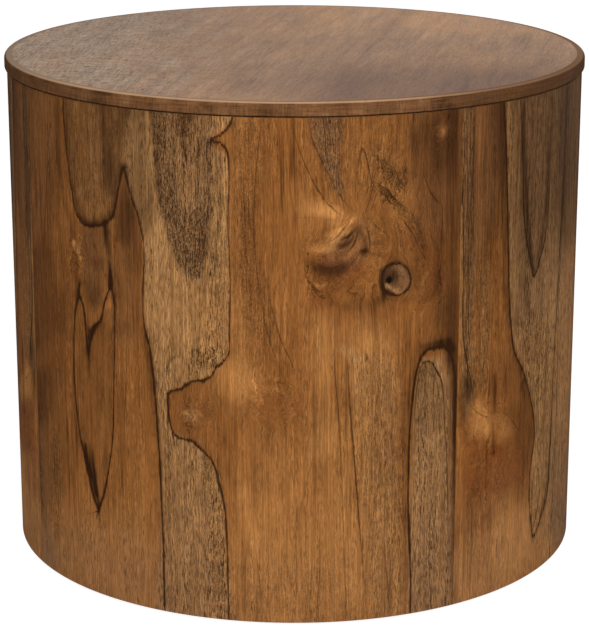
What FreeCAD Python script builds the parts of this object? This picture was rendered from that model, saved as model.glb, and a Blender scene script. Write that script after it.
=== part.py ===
# Round side table: a drum of bent plywood on a ring-and-batten frame, covered in teak veneer,
# under a veneered disc top with solid teak lipping.
# Units are millimetres and degrees. The origin is the middle of the floor under the table, +Z is up and
# the front is towards -Y. An angle round the drum is measured from the front, positive to the right.
import FreeCAD
import Part
import Sketcher
import os
import re
from FreeCAD import Placement, Rotation, Vector

doc = FreeCAD.newDocument("side_table")

# The driving sizes.
SIZES = {
    # The whole table
    "table_height": 520,
    "top_diameter": 600,
    "top_overhang": 2.5,
    # The top: a plywood core with a veneer on each face, and solid lipping round the edge
    "core_thickness": 12,
    "veneer_thickness": 0.6,
    "lipping_width": 8,
    "lipping_upper_round": 4,
    "lipping_lower_round": 1.5,
    "lipping_count": 4,
    "lipping_first_angle": -3.9,
    # The wall: two layers of bending plywood under the face veneer, which stop short of the top
    "shadow_gap": 1.5,
    "skin_thickness": 3,
    "glue_line": 0.15,
    "seam_left_angle": -62,
    "seam_right_angle": 32,
    "seam_right_back_angle": 121,
    "seam_left_back_angle": 207,
    # The frame: three notched rings on upright battens
    "ring_thickness": 18,
    "ring_width": 60,
    "middle_ring_share": 0.5,
    "batten_count": 8,
    "batten_width": 44,
    "batten_depth": 22,
    # The base panel, set into a rebate of the bottom ring
    "base_panel_thickness": 6,
    "base_rebate_width": 15,
    "base_panel_clearance": 0.5,
    # The nail-on glides
    "glide_count": 4,
    "glide_height": 3,
    "glide_diameter": 24,
    "glide_chamfer": 1,
    "glide_recess_clearance": 0.3,
    "nail_diameter": 2.4,
    "nail_head_diameter": 7,
    "nail_head_height": 1,
    "nail_sink": 0.6,
    "nail_bite": 14,
    "nail_point": 3,
    # The countersunk screws
    "screw_diameter": 4,
    "screw_head_diameter": 8,
    "screw_head_height": 2.5,
    "screw_point": 4,
    "screw_sink": 0.4,
    "batten_screw_bite": 16,
    "top_screw_bite": 8,
    "base_screw_bite": 8,
    # How far a cutter runs past the face that it starts from
    "cut_overrun": 1,
}

# Sizes that follow from them, from the top of the table to the floor.
DERIVED = {
    "top_radius": "top_diameter / 2",
    "core_radius": "top_radius - lipping_width",
    "core_upper": "table_height - veneer_thickness",
    "core_under": "core_upper - core_thickness",
    "top_under": "core_under - veneer_thickness",
    "lipping_span": "360 / lipping_count",
    "wall_radius": "top_radius - top_overhang",
    "veneer_inner_radius": "wall_radius - veneer_thickness",
    "outer_skin_radius": "veneer_inner_radius - glue_line",
    "inner_skin_radius": "outer_skin_radius - skin_thickness - glue_line",
    "frame_radius": "inner_skin_radius - skin_thickness - glue_line",
    "wall_upper": "top_under - shadow_gap",
    "ring_hole_radius": "frame_radius - ring_width",
    "notch_radius": "frame_radius - batten_depth",
    "half_batten": "batten_width / 2",
    "batten_length": "top_under - glide_height",
    "batten_step": "360 / batten_count",
    "top_ring_under": "top_under - ring_thickness",
    "frame_opening": "top_ring_under - glide_height - ring_thickness",
    "middle_ring_rise": "(frame_opening - ring_thickness) * middle_ring_share",
    "middle_ring_under": "glide_height + ring_thickness + middle_ring_rise",
    "rebate_radius": "ring_hole_radius + base_rebate_width",
    "base_panel_radius": "rebate_radius - base_panel_clearance",
    "half_ring": "ring_thickness / 2",
    "screw_radius": "screw_diameter / 2",
    "screw_head_radius": "screw_head_diameter / 2",
    "batten_screw_length": "batten_depth + batten_screw_bite",
    "top_screw_circle": "ring_hole_radius + ring_width / 2",
    "top_screw_length": "ring_thickness + veneer_thickness + top_screw_bite",
    "base_screw_circle": "ring_hole_radius + base_rebate_width / 2",
    "base_screw_length": "base_panel_thickness + base_screw_bite",
    "glide_radius": "glide_diameter / 2",
    "glide_circle": "(rebate_radius + frame_radius) / 2",
    "glide_step": "360 / glide_count",
    "nail_radius": "nail_diameter / 2",
    "nail_head_radius": "nail_head_diameter / 2",
    "nail_seat": "nail_sink + nail_head_height",
    "nail_recess_radius": "nail_head_radius + glide_recess_clearance",
    "nail_tip": "glide_height + nail_bite",
}

sheet = doc.addObject("Spreadsheet::Sheet", "sizes")
for row, (alias, value) in enumerate(list(SIZES.items()) + list(DERIVED.items()), start=1):
    sheet.set(f"A{row}", alias)
    sheet.set(f"B{row}", f"={value}" if alias in DERIVED else str(value))
    sheet.setAlias(f"B{row}", alias)
doc.recompute()

UP = Vector(0, 0, 1)
FRONT_ANGLE = -90
HALF_TURN = 180
FULL_TURN = 360
LEVEL_TOLERANCE = 1e-6


def bound(text):
    """An expression in the sheet's own words, written for an object outside the sheet."""
    return re.sub(r"[a-z][a-z_]*", r"sizes.\g<0>", text)


def number(text):
    """The present value of such an expression."""
    return float(sheet.evalExpression(bound(text)))


def new_body(label, height=None, angle=None):
    """A body at a height above the floor, turned to an angle from the front of the drum."""
    body = doc.addObject("PartDesign::Body", label)
    body.Label = label
    body.Placement = Placement(Vector(), Rotation(UP, FRONT_ANGLE))
    if height:
        body.setExpression("Placement.Base.z", bound(height))
    if angle:
        body.setExpression("Placement.Rotation.Angle", f"{FRONT_ANGLE} + {bound(angle)}")
    return body


def new_sketch(body, name, role):
    """An empty sketch on one of the body's own origin planes."""
    sketch = body.newObject("Sketcher::SketchObject", f"{body.Name}_{name}")
    plane = [item for item in body.Origin.OriginFeatures if item.Role == role][0]
    sketch.AttachmentSupport = (plane, [""])
    sketch.MapMode = "FlatFace"
    return sketch


def place_point(sketch, edge, end, across, along):
    """Holds one end of an edge at a place from the sheet. A place of "0" is on the sketch's axis."""
    for kind, text, axis in (("DistanceX", across, -2), ("DistanceY", along, -1)):
        if text == "0":
            sketch.addConstraint(Sketcher.Constraint("PointOnObject", edge, end, axis))
        else:
            index = sketch.addConstraint(Sketcher.Constraint(kind, -1, 1, edge, end, number(text)))
            sketch.setExpression(f"Constraints[{index}]", bound(text))


def outline(body, name, role, corners, axis=False):
    """A closed outline of straight edges. With axis, it turns about its own closing edge."""
    sketch = new_sketch(body, name, role)
    points = [Vector(number(across), number(along), 0) for across, along in corners]
    last = len(points) - 1
    for index, point in enumerate(points):
        sketch.addGeometry(Part.LineSegment(point, points[(index + 1) % len(points)]))
    for index, corner in enumerate(corners):
        sketch.addConstraint(Sketcher.Constraint("Coincident", index, 2, (index + 1) % len(points), 1))
        place_point(sketch, index, 1, *corner)
    if axis:
        line = sketch.addGeometry(Part.LineSegment(points[0], points[last]), True)
        sketch.addConstraint(Sketcher.Constraint("Coincident", line, 1, 0, 1))
        sketch.addConstraint(Sketcher.Constraint("Coincident", line, 2, last, 1))
    return sketch


def circles(body, name, radii):
    """A sketch of circles about the drum's axis."""
    sketch = new_sketch(body, name, "XY_Plane")
    for index, radius in enumerate(radii):
        sketch.addGeometry(Part.Circle(Vector(), UP, number(radius)))
        sketch.addConstraint(Sketcher.Constraint("Coincident", index, 3, -1, 1))
        size = sketch.addConstraint(Sketcher.Constraint("Radius", index, number(radius)))
        sketch.setExpression(f"Constraints[{size}]", bound(radius))
    return sketch


def pad(body, sketch, length):
    """The sketch's outline, raised from its plane."""
    feature = body.newObject("PartDesign::Pad", f"{body.Name}_pad")
    feature.Profile = sketch
    feature.Length = number(length)
    feature.setExpression("Length", bound(length))
    return feature


def revolve(body, sketch, axis, span):
    """The sketch's outline turned about an axis, by an angle from the sheet or by a full turn."""
    feature = body.newObject("PartDesign::Revolution", f"{body.Name}_turn")
    feature.Profile = sketch
    feature.ReferenceAxis = (sketch, [axis])
    if span:
        feature.Angle = number(span)
        feature.setExpression("Angle", bound(span))
    else:
        feature.Angle = FULL_TURN
    return feature


def polar_pattern(body, feature, count):
    """Copies of a feature, evenly spaced round the drum's axis."""
    pattern = body.newObject("PartDesign::PolarPattern", f"{body.Name}_{feature.Name}_copies")
    pattern.Originals = [feature]
    pattern.Axis = ([item for item in body.Origin.OriginFeatures if item.Role == "Z_Axis"][0], [""])
    pattern.Angle = FULL_TURN
    pattern.Occurrences = round(number(count))
    pattern.setExpression("Occurrences", bound(count))
    body.Tip = pattern
    return pattern


def pocket(body, sketch, depth=None):
    """A cut upwards from the sketch's plane, to a depth from the sheet or right through."""
    before = body.Shape.Volume
    feature = body.newObject("PartDesign::Pocket", f"{sketch.Name}_pocket")
    feature.Profile = sketch
    feature.Reversed = True
    if depth:
        feature.Length = number(depth)
        feature.setExpression("Length", bound(depth))
    else:
        feature.Type = "ThroughAll"
    doc.recompute()
    if body.Shape.Volume >= before:
        raise RuntimeError(f"{feature.Name} cut nothing")
    return feature


def disc(label, radius, thickness, height):
    """A flat round sheet."""
    body = new_body(label, height)
    pad(body, circles(body, "circle", [radius]), thickness)
    return body


def curved_strip(label, corners, span, angle):
    """An upright section turned about the drum's axis from one angle through a span."""
    body = new_body(label, angle=angle)
    sketch = outline(body, "section", "XZ_Plane", corners)
    revolve(body, sketch, "V_Axis", span)
    doc.recompute()
    return body


def strip_section(inner, outer, under, upper):
    """The four corners of an upright rectangular section."""
    return [(inner, under), (outer, under), (outer, upper), (inner, upper)]


def joined(label, members):
    """Several objects as one, to cut with."""
    compound = doc.addObject("Part::Compound", label)
    compound.Links = members
    return compound


def cut(label, base, tool):
    """The named piece: a blank with its holes cut."""
    piece = doc.addObject("Part::Cut", label)
    piece.Label = label
    piece.Base = base
    piece.Tool = tool
    return piece


# Countersunk screws. Each group is turned to its circle round the drum, with a cutter of the same shape
# that also clears the way in over the sunk head.
def screw_outline(length, cutter):
    """Pairs of distance from the wood's face and radius, from the head's face to the tip."""
    start = "0 - cut_overrun" if cutter else "screw_sink"
    outline = [(start, "0"), (start, "screw_head_radius")]
    if cutter:
        outline.append(("screw_sink", "screw_head_radius"))
    outline += [
        ("screw_sink + screw_head_height", "screw_radius"),
        (f"{length} - screw_point", "screw_radius"),
        (length, "0"),
    ]
    return outline


def upright_screws(label, circle, face, length, angle, count, cutter=False):
    """Screws driven upwards into a flat face, on a circle about the drum's axis."""
    corners = [
        (f"{circle} + {radius}" if radius != "0" else circle, f"{face} + {along}")
        for along, radius in screw_outline(length, cutter)
    ]
    body = new_body(label, angle=angle)
    turned = revolve(body, outline(body, "section", "XZ_Plane", corners, axis=True), "Axis0", None)
    polar_pattern(body, turned, count)
    return body


def radial_screws(label, face, height, length, count, cutter=False):
    """Screws driven inwards through the battens into a ring."""
    corners = [
        (f"{face} - ({along})", f"{height} + {radius}" if radius != "0" else height)
        for along, radius in screw_outline(length, cutter)
    ]
    body = new_body(label)
    turned = revolve(body, outline(body, "section", "XZ_Plane", corners, axis=True), "Axis0", None)
    polar_pattern(body, turned, count)
    return body


RING_HEIGHTS = {
    "top": "top_ring_under",
    "middle": "middle_ring_under",
    "bottom": "glide_height",
}
batten_screws = []
batten_cutters = []
for name, under in RING_HEIGHTS.items():
    place = ("frame_radius", f"{under} + half_ring", "batten_screw_length", "batten_count")
    batten_screws.append(radial_screws(f"batten_screws_{name}", *place))
    batten_cutters.append(radial_screws(f"batten_screw_cutters_{name}", *place, cutter=True))
batten_cutter = joined("batten_screw_cutters", batten_cutters)

top_place = ("top_screw_circle", "top_ring_under", "top_screw_length", "batten_step / 2", "batten_count")
top_screws = upright_screws("top_screws", *top_place)
top_cutter = upright_screws("top_screw_cutters", *top_place, cutter=True)

base_place = ("base_screw_circle", "glide_height", "base_screw_length", "batten_step / 2", "batten_count")
base_screws = upright_screws("base_panel_screws", *base_place)
base_cutter = upright_screws("base_screw_cutters", *base_place, cutter=True)

# Glides: a chamfered plastic pad with a sunk nail.
glide_section = [
    ("glide_circle + nail_radius", "glide_height"),
    ("glide_circle + glide_radius", "glide_height"),
    ("glide_circle + glide_radius", "glide_chamfer"),
    ("glide_circle + glide_radius - glide_chamfer", "0"),
    ("glide_circle + nail_recess_radius", "0"),
    ("glide_circle + nail_recess_radius", "nail_seat"),
    ("glide_circle + nail_radius", "nail_seat"),
]
glides = []
for index in range(round(number("glide_count"))):
    body = new_body(f"glide_{index + 1}", angle=f"batten_step / 2 + glide_step * {index}")
    sketch = outline(body, "section", "XZ_Plane", glide_section)
    foot = Vector(number("glide_circle"), 0, 0)
    head = Vector(number("glide_circle"), number("glide_height"), 0)
    axis = sketch.addGeometry(Part.LineSegment(foot, head), True)
    place_point(sketch, axis, 1, "glide_circle", "0")
    place_point(sketch, axis, 2, "glide_circle", "glide_height")
    revolve(body, sketch, "Axis0", None)
    glides.append(body)

nail_section = [
    ("glide_circle", "nail_sink"),
    ("glide_circle + nail_head_radius", "nail_sink"),
    ("glide_circle + nail_head_radius", "nail_seat"),
    ("glide_circle + nail_radius", "nail_seat"),
    ("glide_circle + nail_radius", "nail_tip - nail_point"),
    ("glide_circle", "nail_tip"),
]
nails = new_body("glide_nails", angle="batten_step / 2")
nail = revolve(nails, outline(nails, "section", "XZ_Plane", nail_section, axis=True), "Axis0", None)
polar_pattern(nails, nail, "glide_count")


# Frame rings, with a notch in the rim for every batten.
def ring_blank(name, height):
    body = new_body(f"ring_{name}_blank", height)
    pad(body, circles(body, "circles", ["frame_radius", "ring_hole_radius"]), "ring_thickness")
    doc.recompute()
    sketch = new_sketch(body, "notch", "XY_Plane")
    inner = number("notch_radius")
    outer = number("frame_radius + cut_overrun")
    half = number("half_batten")
    corners = [(inner, -half), (outer, -half), (outer, half), (inner, half)]
    for index, corner in enumerate(corners):
        following = corners[(index + 1) % len(corners)]
        sketch.addGeometry(Part.LineSegment(Vector(*corner, 0), Vector(*following, 0)))
    for index in range(len(corners)):
        sketch.addConstraint(Sketcher.Constraint("Coincident", index, 2, (index + 1) % len(corners), 1))
    sketch.addConstraint(Sketcher.Constraint("Symmetric", 0, 1, 3, 1, -1))
    sketch.addConstraint(Sketcher.Constraint("Symmetric", 1, 1, 2, 1, -1))
    place_point(sketch, 3, 1, "notch_radius", "half_batten")
    place_point(sketch, 2, 1, "frame_radius + cut_overrun", "half_batten")
    notch = pocket(body, sketch)
    polar_pattern(body, notch, "batten_count")
    doc.recompute()
    return body


ring_top_cutter = joined("ring_top_cutters", [batten_cutters[0], top_cutter])
ring_top = cut("ring_top", ring_blank("top", RING_HEIGHTS["top"]), ring_top_cutter)
ring_middle = cut("ring_middle", ring_blank("middle", RING_HEIGHTS["middle"]), batten_cutters[1])
bottom_blank = ring_blank("bottom", RING_HEIGHTS["bottom"])
pocket(bottom_blank, circles(bottom_blank, "rebate", ["rebate_radius"]), "base_panel_thickness")
ring_bottom_cutter = joined("ring_bottom_cutters", [batten_cutters[2], base_cutter, nails])
ring_bottom = cut("ring_bottom", bottom_blank, ring_bottom_cutter)


# Battens, each with its outer face curved to the frame.
def batten_blank(index):
    body = new_body(f"batten_{index + 1}_blank", "glide_height", f"batten_step * {index}")
    sketch = new_sketch(body, "section", "XY_Plane")
    radius = number("frame_radius")
    inner = number("notch_radius")
    half = number("half_batten")
    outer = (radius**2 - half**2) ** 0.5
    middle = Vector(radius, 0, 0)
    sketch.addGeometry(Part.Arc(Vector(outer, -half, 0), middle, Vector(outer, half, 0)))
    sketch.addGeometry(Part.LineSegment(Vector(outer, half, 0), Vector(inner, half, 0)))
    sketch.addGeometry(Part.LineSegment(Vector(inner, half, 0), Vector(inner, -half, 0)))
    sketch.addGeometry(Part.LineSegment(Vector(inner, -half, 0), Vector(outer, -half, 0)))
    for first, second in (((0, 2), (1, 1)), ((1, 2), (2, 1)), ((2, 2), (3, 1)), ((3, 2), (0, 1))):
        sketch.addConstraint(Sketcher.Constraint("Coincident", *first, *second))
    sketch.addConstraint(Sketcher.Constraint("Coincident", 0, 3, -1, 1))
    size = sketch.addConstraint(Sketcher.Constraint("Radius", 0, radius))
    sketch.setExpression(f"Constraints[{size}]", bound("frame_radius"))
    sketch.addConstraint(Sketcher.Constraint("Horizontal", 1))
    sketch.addConstraint(Sketcher.Constraint("Symmetric", 2, 1, 2, 2, -1))
    sketch.addConstraint(Sketcher.Constraint("Horizontal", 3))
    place_point(sketch, 2, 1, "notch_radius", "half_batten")
    pad(body, sketch, "batten_length")
    return body


battens = [
    cut(f"batten_{index + 1}", batten_blank(index), batten_cutter)
    for index in range(round(number("batten_count")))
]

# Base panel, screwed up into the bottom ring's rebate.
base_panel = cut(
    "base_panel",
    disc("base_panel_blank", "base_panel_radius", "base_panel_thickness", "glide_height"),
    base_cutter,
)

# Two layers of bending plywood, each in two half shells. Their joints lie on different battens.
skins = []
for layer, outer, start in (("inner", "inner_skin_radius", 0), ("outer", "outer_skin_radius", 2)):
    section = strip_section(f"{outer} - skin_thickness", outer, "glide_height", "wall_upper")
    for index in range(2):
        angle = f"batten_step * {start} + {HALF_TURN} * {index}"
        skins.append(curved_strip(f"skin_{layer}_{index + 1}", section, str(HALF_TURN), angle))

# Teak veneer leaves, butted at the seams.
SEAMS = ["seam_left_angle", "seam_right_angle", "seam_right_back_angle", "seam_left_back_angle"]
LEAVES = ["front", "right", "back", "left"]
leaf_section = strip_section("veneer_inner_radius", "wall_radius", "glide_height", "wall_upper")
leaves = []
for index, name in enumerate(LEAVES):
    start = SEAMS[index]
    end = SEAMS[index + 1] if index + 1 < len(SEAMS) else f"{SEAMS[0]} + {FULL_TURN}"
    leaves.append(curved_strip(f"wall_veneer_{name}", leaf_section, f"{end} - {start}", start))

# The top: core, veneers and lipping.
top_core = cut(
    "top_core",
    disc("top_core_blank", "core_radius", "core_thickness", "core_under"),
    top_cutter,
)
top_backing = cut(
    "top_backing_veneer",
    disc("top_backing_blank", "core_radius", "veneer_thickness", "top_under"),
    top_cutter,
)
top_veneer = disc("top_face_veneer", "core_radius", "veneer_thickness", "core_upper")


def circular_edge(shape, height):
    """The name of the longest round edge at a height."""
    found = [
        (edge.Length, f"Edge{index + 1}")
        for index, edge in enumerate(shape.Edges)
        if hasattr(edge.Curve, "Radius") and abs(edge.Curve.Center.z - height) < LEVEL_TOLERANCE
    ]
    return max(found)[1]


lipping_section = strip_section("core_radius", "top_radius", "top_under", "table_height")
lipping = []
for index in range(round(number("lipping_count"))):
    body = curved_strip(
        f"lipping_{index + 1}",
        lipping_section,
        "lipping_span",
        f"lipping_first_angle + lipping_span * {index}",
    )
    for name, height, radius in (
        ("upper", "table_height", "lipping_upper_round"),
        ("lower", "top_under", "lipping_lower_round"),
    ):
        base = body.Tip
        fillet = body.newObject("PartDesign::Fillet", f"{body.Name}_{name}_round")
        fillet.Base = (base, [circular_edge(base.Shape, number(height))])
        fillet.Radius = number(radius)
        fillet.setExpression("Radius", bound(radius))
        doc.recompute()
    lipping.append(body)

doc.recompute()

pieces = [top_core, top_backing, top_veneer] + lipping + [ring_top, ring_middle, ring_bottom] + battens
pieces += skins + leaves + [base_panel] + glides + [nails, top_screws, base_screws] + batten_screws

for item in doc.Objects:
    if "Invalid" in item.State or "Error" in item.State:
        raise RuntimeError(f"{item.Label}: {item.State}")
for piece in pieces:
    if piece.Shape.isNull() or not piece.Shape.isValid() or not piece.Shape.Solids:
        raise RuntimeError(f"{piece.Label} has no sound shape")

os.makedirs("parts", exist_ok=True)
for piece in pieces:
    piece.Shape.exportStep(f"parts/{piece.Label}.step")
print(len(pieces), "pieces written")
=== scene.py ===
import math
from functools import partial

import bmesh
import bpy
import numpy as np
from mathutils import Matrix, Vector


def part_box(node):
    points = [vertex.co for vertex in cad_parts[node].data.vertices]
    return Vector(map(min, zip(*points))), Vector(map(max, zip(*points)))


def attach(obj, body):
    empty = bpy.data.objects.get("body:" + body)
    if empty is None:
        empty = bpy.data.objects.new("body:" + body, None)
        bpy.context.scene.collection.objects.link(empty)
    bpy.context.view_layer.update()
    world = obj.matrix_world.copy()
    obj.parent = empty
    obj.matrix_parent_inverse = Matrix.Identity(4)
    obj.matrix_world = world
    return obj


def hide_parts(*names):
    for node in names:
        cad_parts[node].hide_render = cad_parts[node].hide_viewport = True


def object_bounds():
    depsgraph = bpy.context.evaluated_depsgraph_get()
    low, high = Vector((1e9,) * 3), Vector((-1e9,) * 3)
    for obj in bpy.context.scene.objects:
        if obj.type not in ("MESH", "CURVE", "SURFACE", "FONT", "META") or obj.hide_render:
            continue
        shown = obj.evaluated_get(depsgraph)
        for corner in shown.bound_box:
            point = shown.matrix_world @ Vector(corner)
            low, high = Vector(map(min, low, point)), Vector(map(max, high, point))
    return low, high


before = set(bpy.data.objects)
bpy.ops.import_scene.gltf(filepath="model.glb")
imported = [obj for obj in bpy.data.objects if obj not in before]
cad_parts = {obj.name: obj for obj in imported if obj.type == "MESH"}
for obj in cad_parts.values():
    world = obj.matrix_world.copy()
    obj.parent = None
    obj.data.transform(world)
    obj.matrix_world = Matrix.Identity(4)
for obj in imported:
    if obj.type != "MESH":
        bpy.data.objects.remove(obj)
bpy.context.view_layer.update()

# The view. The camera stands in front of the table and looks down on it through a long lens. A place
# picked on the photograph is given in the photograph's own pixels, and the view carries it to
# the table.
PHOTO_WIDTH = 589
PHOTO_HEIGHT = 638
CAMERA_DISTANCE = 2.4
CAMERA_HEIGHT = 0.925
CAMERA_PITCH = math.radians(16.229)
FOCAL_PIXELS = 2325.4

camera_data = bpy.data.cameras.new("camera")
camera_data.lens = FOCAL_PIXELS / PHOTO_HEIGHT * camera_data.sensor_width
camera = bpy.data.objects.new("camera", camera_data)
camera.location = (0, -CAMERA_DISTANCE, CAMERA_HEIGHT)
camera.rotation_euler = (math.radians(90) - CAMERA_PITCH, 0, 0)
bpy.context.scene.collection.objects.link(camera)
bpy.context.scene.camera = camera


def on_drum(x, y, radius):
    """Where a pixel falls on an upright cylinder: its arc length to the right, and its height."""
    right = (x - PHOTO_WIDTH / 2) / FOCAL_PIXELS
    down = (y - PHOTO_HEIGHT / 2) / FOCAL_PIXELS
    forward = math.cos(CAMERA_PITCH) - down * math.sin(CAMERA_PITCH)
    fall = math.sin(CAMERA_PITCH) + down * math.cos(CAMERA_PITCH)
    square = right * right + forward * forward
    half = CAMERA_DISTANCE * forward
    over = half * half - square * (CAMERA_DISTANCE**2 - radius**2)
    reach = (half - math.sqrt(max(over, 0))) / square
    angle = math.atan2(right * reach, CAMERA_DISTANCE - forward * reach)
    return angle * radius, CAMERA_HEIGHT - fall * reach


# The frame inside: three plywood rings and a plywood base panel. Their faces show fine pale grain, and
# their edges show the plies.
class Wire:
    """One output in a material's nodes. Sums on wires add Math nodes."""

    def __init__(self, tree, socket=None):
        self.tree = tree
        self.socket = socket

    def node(self, kind, settings=None, inputs=None, output=0):
        """Adds a node: first its settings, then the values or links of its sockets."""
        made = self.tree.nodes.new("ShaderNode" + kind)
        for name, value in (settings or {}).items():
            if name == "stops":
                ramp = made.color_ramp.elements
                while len(ramp) < len(value):
                    ramp.new(0)
                for element, (place, colour) in zip(ramp, value):
                    element.position = place
                    element.color = colour
            else:
                setattr(made, name, value)
        for name, value in (inputs or {}).items():
            if isinstance(value, Wire):
                self.tree.links.new(value.socket, made.inputs[name])
            else:
                made.inputs[name].default_value = value
        return Wire(self.tree, made.outputs[output] if made.outputs else None)

    def math(self, operation, *others):
        """A Math node with this wire in its first socket."""
        return self.node("Math", {"operation": operation}, dict(enumerate((self, *others))))

    def __add__(self, other):
        return self.math("ADD", other)

    def __sub__(self, other):
        return self.math("SUBTRACT", other)

    def __rsub__(self, other):
        return self * -1 + other

    def __mul__(self, other):
        return self.math("MULTIPLY", other)

    def __truediv__(self, other):
        return self.math("DIVIDE", other)

    def __abs__(self):
        return self.math("ABSOLUTE")

    __radd__ = __add__
    __rmul__ = __mul__

    def step(self, low, high):
        """Rises smoothly from 0 at low to 1 at high. With low above high it falls."""
        if not isinstance(low, Wire) and not isinstance(high, Wire) and low > high:
            return 1 - self.step(high, low)
        inputs = {"Value": self, "From Min": low, "From Max": high}
        return self.node("MapRange", {"interpolation_type": "SMOOTHSTEP"}, inputs)

    def mix(self, under, over):
        """Two colours mixed by this wire. They are the Mix node's sockets 6 and 7 and its output 2."""
        return self.node("Mix", {"data_type": "RGBA"}, {0: self, 6: under, 7: over}, 2)

    def scaled(self, by):
        """A place or a colour times a number."""
        return self.node("VectorMath", {"operation": "SCALE"}, {0: self, "Scale": by})

    def axes(self):
        """The three numbers of a place or a direction."""
        return [self.node("SeparateXYZ", inputs={"Vector": self}, output=axis) for axis in "XYZ"]

    def marks(self, across, along, width, length, seed=0.0, detail=2.0, rough=0.55):
        """Noise drawn out along the grain, in marks of about this width and length."""
        place = self.node("CombineXYZ", inputs={"X": across / width, "Y": along / length, "Z": seed})
        settings = {"Vector": place, "Scale": 1.0, "Detail": detail, "Roughness": rough}
        return self.node("TexNoise", inputs=settings)


def paint(red, green, blue):
    """A colour that is given as it shows on a screen, from 0 to 255."""
    shown = (red / 255, green / 255, blue / 255)
    linear = [value / 12.92 if value <= 0.04045 else ((value + 0.055) / 1.055) ** 2.4 for value in shown]
    return (*linear, 1.0)


def begin(name):
    """A new material, and a wire to build its nodes from."""
    material = bpy.data.materials.new(name)
    material.use_nodes = True
    material.node_tree.nodes.clear()
    return material, Wire(material.node_tree)


def finish(start, colour, roughness, height, depth, **fixed):
    """The surface at the end of a material. Depth is how deep the height's full range is, in metres."""
    bump = start.node("Bump", inputs={"Height": height, "Distance": depth, "Strength": 1.0})
    inputs = {"Base Color": colour, "Roughness": roughness, "Normal": bump}
    inputs.update({name.replace("_", " "): value for name, value in fixed.items()})
    surface = start.node("BsdfPrincipled", inputs=inputs)
    start.node("OutputMaterial", inputs={"Surface": surface})


def place_of(start):
    """Wires for a point's X, Y and Z on the object, in millimetres."""
    return start.node("TexCoord", output="Object").scaled(1000.0).axes()


def dress(names, material):
    """Gives a material to CAD nodes."""
    for name in names:
        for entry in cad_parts[name].material_slots:
            entry.material = material


PLY_THICKNESS = 1.5  # millimetres
PLY_PALE = paint(222, 196, 156)
PLY_DEEP = paint(190, 152, 106)
PLY_END = paint(146, 104, 66)

plywood, start = begin("plywood")
x, y, z = place_of(start)
streak = start.marks(y, x, 1.6, 60.0)
cloud = start.marks(y, x, 40.0, 160.0, seed=3.0)
face = (streak * 0.6 + cloud * 0.4).step(0.35, 0.65).mix(PLY_DEEP, PLY_PALE)
ply = (z / PLY_THICKNESS).math("PINGPONG", 1.0)
layers = ply.step(0.35, 0.65).mix(PLY_END, PLY_PALE)
upward = start.node("NewGeometry", output="Normal").axes()[2]
edge = abs(upward).step(0.7, 0.3)
finish(start, edge.mix(face, layers), 0.62 + streak * 0.15, streak, 0.0001)
dress(["ring_top", "ring_middle", "ring_bottom", "base_panel", "top_core"], plywood)


# The battens: planed softwood with straight grain up their length, in soft pale and resin-dark bands.
SOFTWOOD_RINGS = 9.0
SOFTWOOD_PALE = paint(226, 192, 138)
SOFTWOOD_DEEP = paint(186, 134, 80)

softwood, start = begin("softwood")
x, y, z = place_of(start)
spread = x * 0.8 + y * 0.6
band = start.marks(spread, z, 5.0, 700.0, seed=1.0, detail=1.0)
pore = start.marks(spread, z, 0.7, 30.0, seed=5.0)
rings = (band * SOFTWOOD_RINGS).math("PINGPONG", 1.0)
finish(start, (rings * 0.75 + pore * 0.3).step(0.35, 0.9).mix(SOFTWOOD_PALE, SOFTWOOD_DEEP),
       0.6 + pore * 0.1, pore, 0.0001)
dress([f"batten_{number}" for number in range(1, 9)], softwood)


# The skins: two layers of 3 mm bending plywood, glued round the frame with their joints apart. The
# outer plies run round the drum and have the open, reddish grain of a light tropical wood.
SKIN_PALE = paint(201, 160, 118)
SKIN_DEEP = paint(160, 112, 76)

skin, start = begin("bending_plywood")
x, y, z = place_of(start)
turn = x.math("ARCTAN2", y * -1) * (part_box("skin_outer_2")[1].x * 1000)
streak = start.marks(turn, z, 1.4, 26.0, seed=2.0)
cloud = start.marks(turn, z, 90.0, 200.0, seed=7.0)
finish(start, (streak * 0.6 + cloud * 0.4).step(0.36, 0.64).mix(SKIN_DEEP, SKIN_PALE),
       0.68 + streak * 0.1, streak, 0.00015)
dress(["skin_inner_1", "skin_inner_2", "skin_outer_1", "skin_outer_2"], skin)


# The veneer under the top: a plain balancing leaf, so that the top stays flat.
BACKING_PALE = paint(188, 152, 110)
BACKING_DEEP = paint(150, 112, 74)

backing, start = begin("backing_veneer")
x, y, z = place_of(start)
streak = start.marks(x, y, 1.2, 50.0, seed=4.0)
finish(start, streak.step(0.35, 0.65).mix(BACKING_DEEP, BACKING_PALE), 0.6 + streak * 0.1, streak, 0.0001)
dress(["top_backing_veneer"], backing)


# The screws and nails: zinc-plated steel, slightly clouded.
STEEL_BRIGHT = paint(196, 196, 192)
STEEL_DULL = paint(150, 150, 146)

steel, start = begin("zinc_plated_steel")
x, y, z = place_of(start)
cloud = start.marks(x + y, z, 2.0, 2.0, seed=9.0)
finish(start, cloud.step(0.35, 0.65).mix(STEEL_DULL, STEEL_BRIGHT), 0.28 + cloud * 0.2, cloud, 0.00002,
       Metallic=1.0)
dress(["top_screws", "base_panel_screws", "glide_nails"], steel)
dress(["batten_screws_top", "batten_screws_middle", "batten_screws_bottom"], steel)


# The glides: moulded dark plastic pads with a fine matt texture.
PAD_DARK = paint(44, 41, 38)
PAD_WORN = paint(66, 62, 58)

pad, start = begin("glide_plastic")
x, y, z = place_of(start)
mottle = start.marks(x, y, 0.5, 0.5, seed=6.0)
finish(start, mottle.step(0.4, 0.7).mix(PAD_DARK, PAD_WORN), 0.5 + mottle * 0.2, mottle, 0.00005)
dress([f"glide_{number}" for number in range(1, 5)], pad)


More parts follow.
